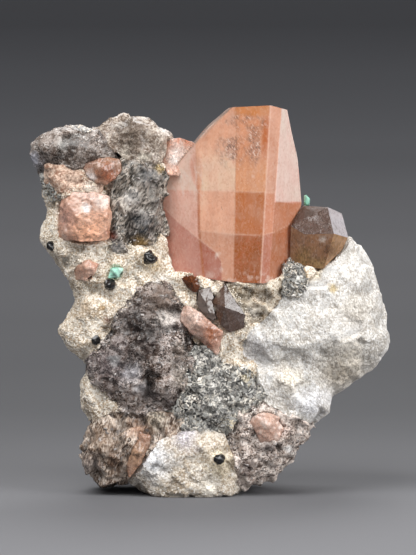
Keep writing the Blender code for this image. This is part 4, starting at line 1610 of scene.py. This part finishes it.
@dataclass
class Scatter:
    """Many small grains or flakes on a surface, joined in one mesh."""

    name: str
    finish: Finish
    count: int
    size: tuple[float, float]
    shape: tuple[float, float, float]
    seed: int
    sink: float = 0.15
    follow: float = 0.0
    rounded: bool = True
    shell: float = 1.0

    def build(self, places: np.ndarray, normals: np.ndarray) -> bpy.types.Object:
        """Build the grains at places on a surface.

        Args:
            places: a place for each grain, in millimetres.
            normals: the surface's normal at each place.

        Returns:
            The finished piece.
        """
        random = np.random.default_rng(self.seed)
        builder = bmesh.new()
        if self.rounded:
            bmesh.ops.create_icosphere(builder, subdivisions=1, radius=0.5)
        else:
            bmesh.ops.create_cube(builder, size=1.0)
            bmesh.ops.triangulate(builder, faces=builder.faces)
        shape = np.array([tuple(vertex.co) for vertex in builder.verts])
        faces = np.array([[vertex.index for vertex in face.verts] for face in builder.faces])
        builder.free()
        count = len(places)
        sizes = random.uniform(self.size[0], self.size[1], count)
        corners = shape[None, :, :] * (1.0 + random.uniform(-0.25, 0.15, (count, len(shape), 3)))
        corners = corners * np.array(self.shape)[None, None, :] * sizes[:, None, None]
        turns = self.turns(random, normals)
        corners = np.einsum("nij,nkj->nki", turns, corners)
        corners += (places - normals * sizes[:, None] * self.sink)[:, None, :]
        corners[..., 2] = np.maximum(corners[..., 2], 0.0)
        mesh = bpy.data.meshes.new(self.name)
        all_faces = (faces[None, :, :] + (np.arange(count) * len(shape))[:, None, None]).reshape(-1, 3)
        mesh.from_pydata((corners.reshape(-1, 3) * MM).tolist(), [], all_faces.tolist())
        own = np.repeat(random.random(count), len(shape))
        MeshTools.paint(mesh, "paint", own[:, None])
        piece = MeshTools.stand(self.name, mesh)
        self.finish.dress(piece)
        return piece

    def turns(self, random: np.random.Generator, normals: np.ndarray) -> np.ndarray:
        """A turn for each grain, towards the surface's normal by the share named follow.

        Args:
            random: the source of chance.
            normals: the surface's normal at each grain.

        Returns:
            One 3 by 3 turn a grain.
        """
        upright = random.normal(size=normals.shape)
        upright /= np.linalg.norm(upright, axis=1)[:, None]
        third = normals * self.follow + upright * (1.0 - self.follow)
        third /= np.linalg.norm(third, axis=1)[:, None]
        side = np.cross(third, random.normal(size=normals.shape))
        side /= np.linalg.norm(side, axis=1)[:, None]
        return np.stack([side, np.cross(third, side), third], axis=2)

    def build_on(self, pieces: list[bpy.types.Object], skin: Surface, near: Surface | None = None,
                 reach: float = 1.0) -> bpy.types.Object:
        """Build the grains on the outside of pieces, spread evenly.

        Args:
            pieces: the pieces that carry them.
            skin: the outside of the whole stone.
            near: pieces that the grains keep to the contact of.
            reach: how far from the contact they lie.

        Returns:
            The finished piece.
        """
        random = np.random.default_rng(self.seed + 1)
        parts = [piece.data.polygons for piece in pieces]
        areas, centres, normals = (
            np.concatenate([MeshTools.values(polygons, name, width) for polygons in parts])
            for name, width in (("area", 1), ("center", 3), ("normal", 3)))
        centres = centres / MM
        _, _, depth = skin.nearest(centres, 1.2 * self.shell)
        weights = areas[:, 0] * (depth < self.shell)
        if near is not None:
            _, _, gaps = near.nearest(centres, reach)
            weights = weights * np.clip(1.0 - gaps / reach, 0.0, 1.0)
        count = min(self.count, int(np.count_nonzero(weights)))
        chosen = random.choice(len(weights), count, replace=False, p=weights / weights.sum())
        return self.build(centres[chosen], normals[chosen])


@dataclass(frozen=True)
class Lamp:
    """A soft square light that points at the stone."""

    name: str
    place_m: tuple[float, float, float]
    size_m: float
    watts: float

    def hang(self, aim: Vector) -> None:
        """Hang the light.

        Args:
            aim: what it points at, in metres.
        """
        lamp = bpy.data.lights.new(self.name, "AREA")
        lamp.shape = "SQUARE"
        lamp.size = self.size_m
        lamp.energy = self.watts
        holder = MeshTools.stand(self.name, lamp)
        holder.location = self.place_m
        holder.rotation_euler = (aim - Vector(self.place_m)).to_track_quat("-Z", "Y").to_euler()


@dataclass
class Backdrop:
    """A pale floor that sweeps up into a grey backdrop, with painted light in its greys.  Its sizes are
    metres.
    """

    half_width_m: float = 6.0
    front_m: float = -5.0
    straight_m: float = 2.6
    rise_m: float = 2.6
    bend_m: float = 0.8
    bend_steps: int = 12
    # Places behind the stone's foot in millimetres, and the paper's grey there, a painted fall and rise of
    # the light
    painted_light_greys: tuple[tuple[float, float], ...] = (
        (-117.0, 0.155), (-24.0, 0.147), (4.0, 0.131), (80.0, 0.104), (134.0, 0.086), (189.0, 0.076),
        (315.0, 0.074), (460.0, 0.086), (631.0, 0.119), (834.0, 0.19), (1080.0, 0.313),
        (1383.0, 0.40), (2000.0, 0.425), (2542.0, 0.39), (2727.0, 0.352))
    first_place: float = -200.0
    last_place: float = 3400.0
    coolness: float = 1.05

    def build(self) -> None:
        """Lay the floor and its paper."""
        profile = [(self.front_m, 0.0), (self.straight_m, 0.0)]
        for step in range(1, self.bend_steps + 1):
            angle = math.radians(90.0 * step / self.bend_steps)
            back, up = self.bend_m * math.sin(angle), self.bend_m * (1.0 - math.cos(angle))
            profile.append((self.straight_m + back, up))
        profile.append((self.straight_m + self.bend_m, self.rise_m))
        builder = bmesh.new()
        sides = (-self.half_width_m, self.half_width_m)
        rows = [[builder.verts.new((side, y, z)) for side in sides] for y, z in profile]
        for lower, upper in zip(rows, rows[1:]):
            builder.faces.new((lower[0], lower[1], upper[1], upper[0]))
        mesh = bpy.data.meshes.new("floor")
        builder.to_mesh(mesh)
        builder.free()
        mesh.shade_smooth()
        sweep = MeshTools.stand("floor", mesh)
        mesh.materials.append(self.paper())

    def paper(self) -> bpy.types.Material:
        """Build the paper's material, whose grey changes with the place as painted light.

        Returns:
            The material.
        """
        graph = Graph("floor_paper_painted_light")
        place = graph.node("SeparateXYZ", {"Vector": graph.place}).outputs["Y"]
        reach = self.last_place - self.first_place
        stops = [((at - self.first_place) / reach, (grey, grey, grey * self.coolness))
                 for at, grey in self.painted_light_greys]
        graph.set(Base_Color=graph.ramp(graph.band(place, self.first_place, self.last_place), *stops))
        graph.set(Roughness=0.8, Specular_IOR_Level=0.1)
        return graph.material


@dataclass
class Studio:
    """The floor, the light and the camera that the stone is looked at with."""

    aim: tuple[float, float, float] = (2.0, 0.0, 54.0)
    distance_m: float = 1.5
    shown_height: float = 138.75
    sensor: float = 36.0
    air: Colour = (0.72, 0.74, 0.78)
    air_strength: float = 0.16
    lamps: tuple[Lamp, ...] = (
        Lamp("key_top_left", (-0.30, -0.42, 0.84), 0.60, 10.2),
        Lamp("fill_right", (0.62, -0.42, 0.34), 0.50, 6.5),
        Lamp("front_soft", (0.10, -1.10, 0.50), 0.60, 2.0),
        Lamp("back_top", (0.05, 0.42, 0.62), 0.45, 4.5))

    def build(self) -> None:
        """Set up the studio."""
        aim = Vector(self.aim) * MM
        self.camera(aim)
        Backdrop().build()
        for lamp in self.lamps:
            lamp.hang(aim)
        scene = bpy.context.scene
        world = bpy.data.worlds.new("studio_air")
        world.use_nodes = True
        background = world.node_tree.nodes["Background"]
        background.inputs["Color"].default_value = (*self.air, 1.0)
        background.inputs["Strength"].default_value = self.air_strength
        scene.world = world
        scene.view_settings.view_transform = "Standard"
        scene.cycles.max_bounces = 12
        scene.cycles.transmission_bounces = 10
        scene.cycles.use_denoising = True

    def camera(self, aim: Vector) -> None:
        """Put the camera in front of the stone, a little above level.

        Args:
            aim: what it looks at, in metres.
        """
        lens = bpy.data.cameras.new("view")
        lens.sensor_fit = "VERTICAL"
        lens.sensor_height = self.sensor
        lens.lens = self.sensor * self.distance_m / (self.shown_height * MM)
        lens.clip_end = 20.0
        camera = MeshTools.stand("view", lens)
        toward = Vector((0.0, -1.0, VIEW_SLOPE)).normalized()
        camera.location = aim + toward * self.distance_m
        camera.rotation_euler = (-toward).to_track_quat("-Z", "Y").to_euler()
        bpy.context.scene.camera = camera


class Specimen:
    """The whole stone: its crystals, its rock and the small things that grow on them."""

    CLEAR = (
        MainTopaz("topaz_main", Finishes.TOPAZ, edge=0.54, relief=(
            Lumps(6.0, 0.05, 12, 2), Grooves((0.05, 0.0, 1.0), 0.9, 0.03, 12.0, 13))),
        ClearCrystal.worn("topaz_upper_left", Finishes.PINK_TOPAZ, seed=301, depth=0.9, patches=(
            patch(-5.4, 85.6, 2.6, "ffeee4", 0.8), patch(-7.0, 81.6, 1.6, "f0b89e", 0.8),
            patch(-7.6, 88.2, 1.2, "ecaa8e", 0.9), patch(-5.4, 89.4, 1.2, "d48e70", 0.9),
            patch(-3.2, 89.0, 1.2, "d89070", 0.9), patch(-6.8, 84.0, 1.0, "fff4ec", 0.9))),
        ClearCrystal.worn("topaz_tabular", Finishes.BROWN_TOPAZ, seed=304, depth=0.8, patches=(
            patch(-30.0, 84.0, 3.2, "ac8476"), patch(-22.6, 80.5, 3.2, "a05c3c", 0.95),
            patch(-27.6, 79.8, 1.9, "f2e6e0", 0.95))),
        ClearCrystal.worn("topaz_block", Finishes.ORANGE_TOPAZ, seed=307, depth=0.9, patches=(
            patch(-27.0, 76.0, 4.5, "d0a490"), patch(-27.0, 66.0, 5.0, "f6b894", 0.9),
            patch(-33.0, 70.0, 3.0, "c49688"), patch(-24.5, 74.0, 2.4, "f2e2d8", 0.8),
            patch(-31.0, 78.0, 1.6, "f0e2d8", 0.6), patch(-28.0, 72.0, 1.2, "f8f4f0", 1.0),
            patch(-22.8, 66.0, 1.0, "965438"))),
        ClearCrystal.worn("topaz_left_small", Finishes.ORANGE_TOPAZ, seed=310, depth=1.0, patches=(
            patch(-24.5, 57.8, 1.8, "be7052", 0.8), patch(-27.0, 55.5, 1.8, "dcbaa8", 0.7))),
        ClearCrystal.worn("topaz_centre", Finishes.PINK_TOPAZ, seed=313, depth=0.9, patches=(
            patch(-1.0, 44.8, 3.0, "e4c4b4", 0.8), patch(3.0, 41.0, 3.4, "ac6a48", 0.9),
            patch(2.0, 37.8, 1.6, "8c543c", 0.7))),
        ClearCrystal.worn("topaz_lower_right", Finishes.PINK_TOPAZ, seed=316, depth=0.9, patches=(
            patch(13.6, 15.5, 1.6, "b27862", 0.6),)),
        ClearCrystal.worn("topaz_lower_left", Finishes.BROWN_TOPAZ, seed=319, patches=(
            patch(-16.0, 11.0, 3.4, "c09a7c", 0.8),)),
        ClearCrystal("smoky_quartz_right", Finishes.SMOKY_CLEAR, relief=(
            Lumps(2.2, 0.03, 322, 2),), lit_face_tones=(
            # each face's tone is smoky brown with painted reflection and shade; the pale right face is a
            # painted reflection
            LitFaceTone((-0.3, -0.9, 0.4), "70584e"), LitFaceTone((-0.4, -0.5, 0.8), "402e26"),
            LitFaceTone((0.8, -0.5, 0.4), "ded8dc"), LitFaceTone((-0.3, -1.0, -0.1), "a4744e"),
            LitFaceTone((0.7, -0.7, -0.3), "d8a676"), LitFaceTone((-0.5, -0.9, -0.1), "aa7e5c"),
            LitFaceTone((0.2, 0.9, 0.2), "786254")), patches=(
            patch(25.5, 59.5, 2.8, "9e7c4a"), patch(32.0, 61.5, 2.2, "6e4c34", 0.6),
            patch(29.5, 58.0, 2.0, "a88a58", 0.6), patch(30.5, 64.4, 0.9, "dcd2c8", 0.8))),
        ClearCrystal("smoky_quartz_foot", Finishes.SMOKY_CLEAR, relief=(
            Lumps(2.2, 0.05, 325, 2),), lit_face_tones=(
            # each face's tone is smoky brown with painted reflection and shade
            LitFaceTone((-0.4, -0.8, 0.4), "6a4a36"), LitFaceTone((0.4, -0.8, 0.4), "624e44"),
            LitFaceTone((0.5, -0.8, 0.2), "5a483e"), LitFaceTone((-0.6, -0.8, -0.1), "604230"),
            LitFaceTone((0.3, -0.9, -0.2), "604a40"), LitFaceTone((0.4, -0.9, -0.1), "5c4a44"),
            LitFaceTone((0.2, 0.9, 0.2), "6e5a4c")), patches=(
            patch(3.4, 47.0, 0.7, "e2d6c4", 0.9), patch(4.2, 51.0, 0.7, "ded2be", 0.8),
            patch(3.8, 44.0, 0.6, "d6c8b4", 0.8))),
        ClearCrystal("smoky_quartz_foot_left", Finishes.SMOKY_FROSTED),
        ClearCrystal("smoky_quartz_red_brown", Finishes.RED_BROWN),
        ClearCrystal.worn("fluorite_left", Finishes.FLUORITE, seed=331, depth=0.9),
        ClearCrystal.worn("fluorite_right", Finishes.FLUORITE, seed=334, depth=0.9),
        ClearCrystal("black_crystal_left_edge", Finishes.BLACK),
        ClearCrystal.worn("black_crystal_middle", Finishes.BLACK, seed=337, depth=2.4),
        ClearCrystal("black_crystal_by_fluorite", Finishes.BLACK),
        ClearCrystal("black_crystal_lower", Finishes.BLACK),
        ClearCrystal.worn("black_crystal_foot", Finishes.BLACK, seed=340, depth=2.0),
    )

    ROCK = (
        RockMass.sugary("albite_matrix", Finishes.ALBITE, seed=21, grid=0.54, patches=(
            patch(-24.3, 47.5, 1.0, "be965a", 0.8), patch(-28.3, 47.5, 1.8, "ccb294"),
            patch(-22.9, 44.4, 1.2, "8c6454", 0.8), patch(-12.0, 58.5, 2.6, "c4a876"),
            patch(-27.0, 33.0, 3.4, "eee4d2"), patch(5.5, 55.5, 3.0, "966e54", 0.5),
            patch(24.0, 55.5, 2.6, "c09a62"), patch(20.8, 53.0, 2.4, "ac8a58", 0.9),
            patch(13.0, 29.0, 2.4, "908054", 0.6), patch(-32.0, 60.0, 3.0, "d6caba", 0.5),
            patch(-10.0, 53.0, 2.6, "dedede", 0.6))),
        RockMass.sugary(
            "feldspar_block", Finishes.BLOCK, seed=31, coarse=5.0, grain=0.8, depth=0.85, grid=0.50,
            more=(Grooves((0.5, 0.0, -0.85), 0.9, 0.05, 6.0, 35),), patches=(
            patch(37.0, 33.0, 7.0, "b2a899", 0.8), patch(33.0, 31.0, 4.0, "aca090", 0.6),
            patch(38.5, 46.0, 5.0, "c6bcae", 0.5), patch(14.0, 37.5, 4.0, "c8c7cc", 0.5),
            patch(10.0, 33.5, 3.0, "c4bebc", 0.5), patch(33.0, 52.0, 1.2, "ccb278", 0.8),
            patch(28.0, 57.0, 2.6, "e2ca9a", 0.7), patch(22.0, 30.0, 3.4, "e2d4be", 0.6),
            patch(28.0, 24.0, 4.0, "e4e4ea", 0.5))),
        RockMass.sugary("feldspar_foot", Finishes.FOOT, seed=41, grid=0.50, patches=(
            patch(-12.0, 9.5, 5.4, "f0f0f2", 0.95), patch(-4.0, 14.8, 3.4, "c8c1c6", 0.9),
            patch(5.0, 8.0, 4.0, "e0ceaa", 0.6), patch(9.0, 12.0, 2.2, "b89a6c", 0.6),
            patch(2.0, 3.0, 3.0, "eae3d6", 0.5))),
        RockMass.sugary("feldspar_peach", Finishes.PEACH, seed=51, coarse=2.6, grain=0.9, grid=0.41, patches=(
            patch(-32.0, 79.0, 2.6, "e2c6b2", 0.6), patch(-27.0, 77.0, 2.0, "f0e4d8", 0.7))),
        RockMass.sugary("albite_cap", Finishes.CAP, seed=56, coarse=1.8, grain=0.8, grid=0.41),
        RockMass.broken(
            "smoky_quartz_upper_left", Finishes.SMOKY_UPPER, seed=61, coarse=7.0, fine=1.5, depth=0.8,
            patches=(
                patch(-31.0, 86.0, 5.0, "544942", 0.6), patch(-22.0, 88.0, 3.6, "645850", 0.5),
                # the two pale lavender-grey patches on the left edge are a painted reflection
                patch(-41.5, 84.0, 1.9, "c4c4ce", 0.95), patch(-39.3, 78.0, 1.9, "bebcc2", 0.9),
                patch(-34.0, 88.0, 1.5, "e2ded8", 0.8), patch(-37.0, 83.0, 2.0, "342c28", 0.6))),
        RockMass.broken(
            "smoky_quartz_top", Finishes.SMOKY_TOP, seed=66, coarse=6.0, fine=1.5, depth=0.9, patches=(
            patch(-17.0, 90.0, 4.5, "685a4e", 0.8), patch(-8.0, 86.0, 4.0, "bcb0a2", 0.6),
            patch(-9.0, 92.0, 2.2, "d0ccc8"), patch(-14.0, 85.0, 1.5, "e0d8c8"),
            patch(-19.0, 85.6, 1.5, "dcd2c2"), patch(-7.5, 81.5, 2.0, "c4a876", 0.6))),
        RockMass.broken(
            "smoky_quartz_column", Finishes.COLUMN, seed=71, coarse=5.0, fine=1.5, depth=1.0, patches=(
            patch(-13.0, 80.0, 3.6, "424446", 0.8), patch(-14.0, 68.5, 4.0, "4c4e52", 0.7),
            patch(-21.0, 62.0, 2.2, "b0acaa", 0.6), patch(-22.0, 65.5, 1.3, "5c2e22", 0.9),
            patch(-14.9, 63.7, 2.4, "987844", 0.8), patch(-9.5, 82.5, 2.0, "a88e54", 0.8),
            patch(-17.0, 75.0, 2.0, "c4c2c0", 0.5), patch(-11.0, 74.0, 2.0, "343232", 0.6))),
        RockMass.broken(
            "smoky_quartz_mass", Finishes.SMOKY_MASS, seed=76, coarse=6.0, fine=1.8, depth=1.2, grid=0.43,
            patches=(
                patch(-16.0, 43.5, 5.4, "1a0f0a", 1.0), patch(-10.0, 50.0, 4.6, "6a584c", 0.8),
                patch(-22.0, 33.0, 5.4, "706466", 0.6), patch(-12.0, 38.0, 3.4, "2c1e19", 0.8),
                patch(-8.0, 44.5, 2.4, "d0c8c0", 0.6), patch(-21.0, 34.5, 1.3, "e8e6e4", 0.95),
                patch(-17.0, 31.0, 2.2, "acaaae", 0.8), patch(-15.0, 27.0, 1.8, "b0aeb0", 0.7),
                patch(-12.0, 25.6, 2.2, "362e2e", 0.8), patch(-7.5, 23.0, 2.4, "3c3434", 0.8),
                patch(-4.5, 30.0, 3.0, "aaa094", 0.6), patch(-5.0, 36.0, 2.4, "867668", 0.6))),
        RockMass.broken(
            "smoky_quartz_lower_left", Finishes.BROWN_MASS, seed=81, coarse=4.6, fine=1.5, depth=1.2,
            patches=(
                patch(-24.0, 15.0, 4.0, "7a624e", 0.6), patch(-21.0, 9.5, 3.0, "584030", 0.7),
                patch(-27.0, 8.0, 2.4, "b0a49e", 0.6), patch(-15.5, 17.0, 3.0, "a4785c", 0.6),
                patch(-11.0, 19.5, 3.0, "8e8676", 0.6), patch(-24.5, 22.0, 2.6, "baaea0", 0.5),
                patch(-18.5, 21.5, 1.6, "463428", 0.7))),
        RockMass.broken(
            "smoky_quartz_lower_right", Finishes.MAUVE_MASS, seed=86, coarse=4.6, fine=1.5, depth=1.4,
            patches=(
                patch(28.0, 12.0, 3.0, "987e76", 0.6), patch(20.0, 17.0, 2.2, "986652", 0.5),
                patch(17.0, 12.5, 2.4, "584e4c", 0.6), patch(12.0, 7.5, 2.2, "3a2a26", 0.8),
                patch(22.2, 12.0, 1.0, "eeeae6", 1.0))),
        RockMass.broken("quartz_vein", Finishes.VEIN, seed=91, coarse=3.6, fine=1.4, grid=0.43, patches=(
            patch(10.0, 50.0, 3.0, "8e8068", 0.6), patch(13.0, 46.0, 2.0, "dad2c6", 0.6),
            patch(8.0, 41.0, 2.4, "7c6448", 0.6), patch(2.5, 36.0, 2.4, "705442", 0.7))),
        RockMass.broken("mica_patch", Finishes.MICA, seed=96, coarse=3.4, fine=1.2, grid=0.43, patches=(
            patch(2.0, 34.0, 3.2, "aaa6a2", 0.6), patch(5.0, 24.0, 3.0, "d4d0ca", 0.6),
            patch(12.5, 27.0, 2.2, "2a2a2e", 0.9), patch(2.5, 18.5, 2.4, "2e2e32", 0.9),
            patch(12.0, 29.8, 1.8, "86764c", 0.8), patch(8.0, 18.0, 2.2, "e8dabe", 0.8),
            patch(9.0, 26.0, 1.6, "2c2c30", 0.9), patch(1.0, 22.4, 1.6, "28282c", 0.9),
            patch(3.4, 28.4, 2.0, "e2ded8", 0.8), patch(11.4, 22.0, 2.0, "e0d8ca", 0.8),
            patch(5.6, 20.6, 1.4, "343232", 0.8), patch(0.5, 27.0, 2.0, "545254", 0.6))),
        RockMass.broken(
            "mica_patch_right", Finishes.MICA_GREEN, seed=98, coarse=2.4, fine=1.0, depth=0.8, grid=0.40,
            patches=(
                patch(19.5, 51.0, 2.0, "54544e", 0.7),)),
        RockMass.broken(
            "mica_sheaf", Finishes.SHEAF, seed=104, coarse=2.6, fine=1.0, depth=0.8, grid=0.40, patches=(
            patch(-36.0, 74.0, 2.0, "847854", 0.6),)),
    )

    GRAINS = (
        (Scatter("albite_matrix_grains", Finishes.ALBITE_GRAINS, 7000, size=(0.35, 0.85),
                 shape=(1.0, 0.85, 0.8), seed=201), ("albite_matrix", "albite_cap")),
        (Scatter("feldspar_foot_grains", Finishes.FELDSPAR_GRAINS, 1400, size=(0.3, 0.8),
                 shape=(1.0, 0.8, 0.7), seed=203), ("feldspar_foot",)),
        (Scatter("mica_flakes_on_patches", Finishes.MICA_FLAKES, 1200, size=(0.5, 1.2),
                 shape=(1.0, 0.9, 0.16), seed=204, sink=0.0, follow=0.5, rounded=False),
         ("mica_patch", "mica_patch_right", "mica_sheaf")),
        (Scatter("smoky_quartz_chips", Finishes.CHIPS, 380, size=(0.4, 1.1),
                 shape=(1.0, 0.8, 0.3), seed=206, sink=0.1, follow=0.6, rounded=False),
         ("smoky_quartz_mass", "smoky_quartz_lower_left", "smoky_quartz_lower_right",
          "smoky_quartz_column")),
    )
    CONTACT_GRAINS = Scatter(
        "albite_contact_grains", Finishes.ALBITE_GRAINS, 1500, size=(0.3, 0.7), shape=(1.0, 0.8, 0.8),
        seed=208, sink=0.25)
    BASE_GRAINS = Scatter(
        "albite_grains_by_crystals", Finishes.ALBITE_GRAINS, 2200, size=(0.3, 0.75),
        shape=(1.0, 0.8, 0.8), seed=210)

    def build(self) -> None:
        """Build every piece of the stone."""
        skin = Skin().build()
        crystals = []
        for crystal in self.CLEAR:
            known = Surface([crystals[0].data]) if crystal.node == "topaz_upper_left" else None
            crystals.append(crystal.build(known))
            self.report(crystals[-1])
        contacts = Surface([piece.data for piece in crystals])
        rocks = {}
        for mass in self.ROCK:
            rocks[mass.node] = mass.build(skin, contacts)
            self.report(rocks[mass.node])
        for scatter, nodes in self.GRAINS:
            self.report(scatter.build_on([rocks[node] for node in nodes], skin))
        others = [piece for node, piece in rocks.items() if node not in ("albite_matrix", "albite_cap")]
        albite = Surface([rocks["albite_matrix"].data])
        self.report(self.CONTACT_GRAINS.build_on(others, skin, near=albite, reach=1.1))
        pale_rocks = [rocks[node] for node in ("albite_matrix", "quartz_vein", "feldspar_peach")]
        self.report(self.BASE_GRAINS.build_on(pale_rocks, skin, near=contacts, reach=1.3))

    @staticmethod
    def report(piece: bpy.types.Object) -> None:
        """Log a piece's name and size."""
        log.info("%s: %d faces", piece.name, len(piece.data.polygons))


def main() -> None:
    """Build the specimen, then the studio."""
    logging.basicConfig(level=logging.INFO, format="%(message)s")
    Specimen().build()
    Studio().build()


if __name__ == "__main__":
    main()
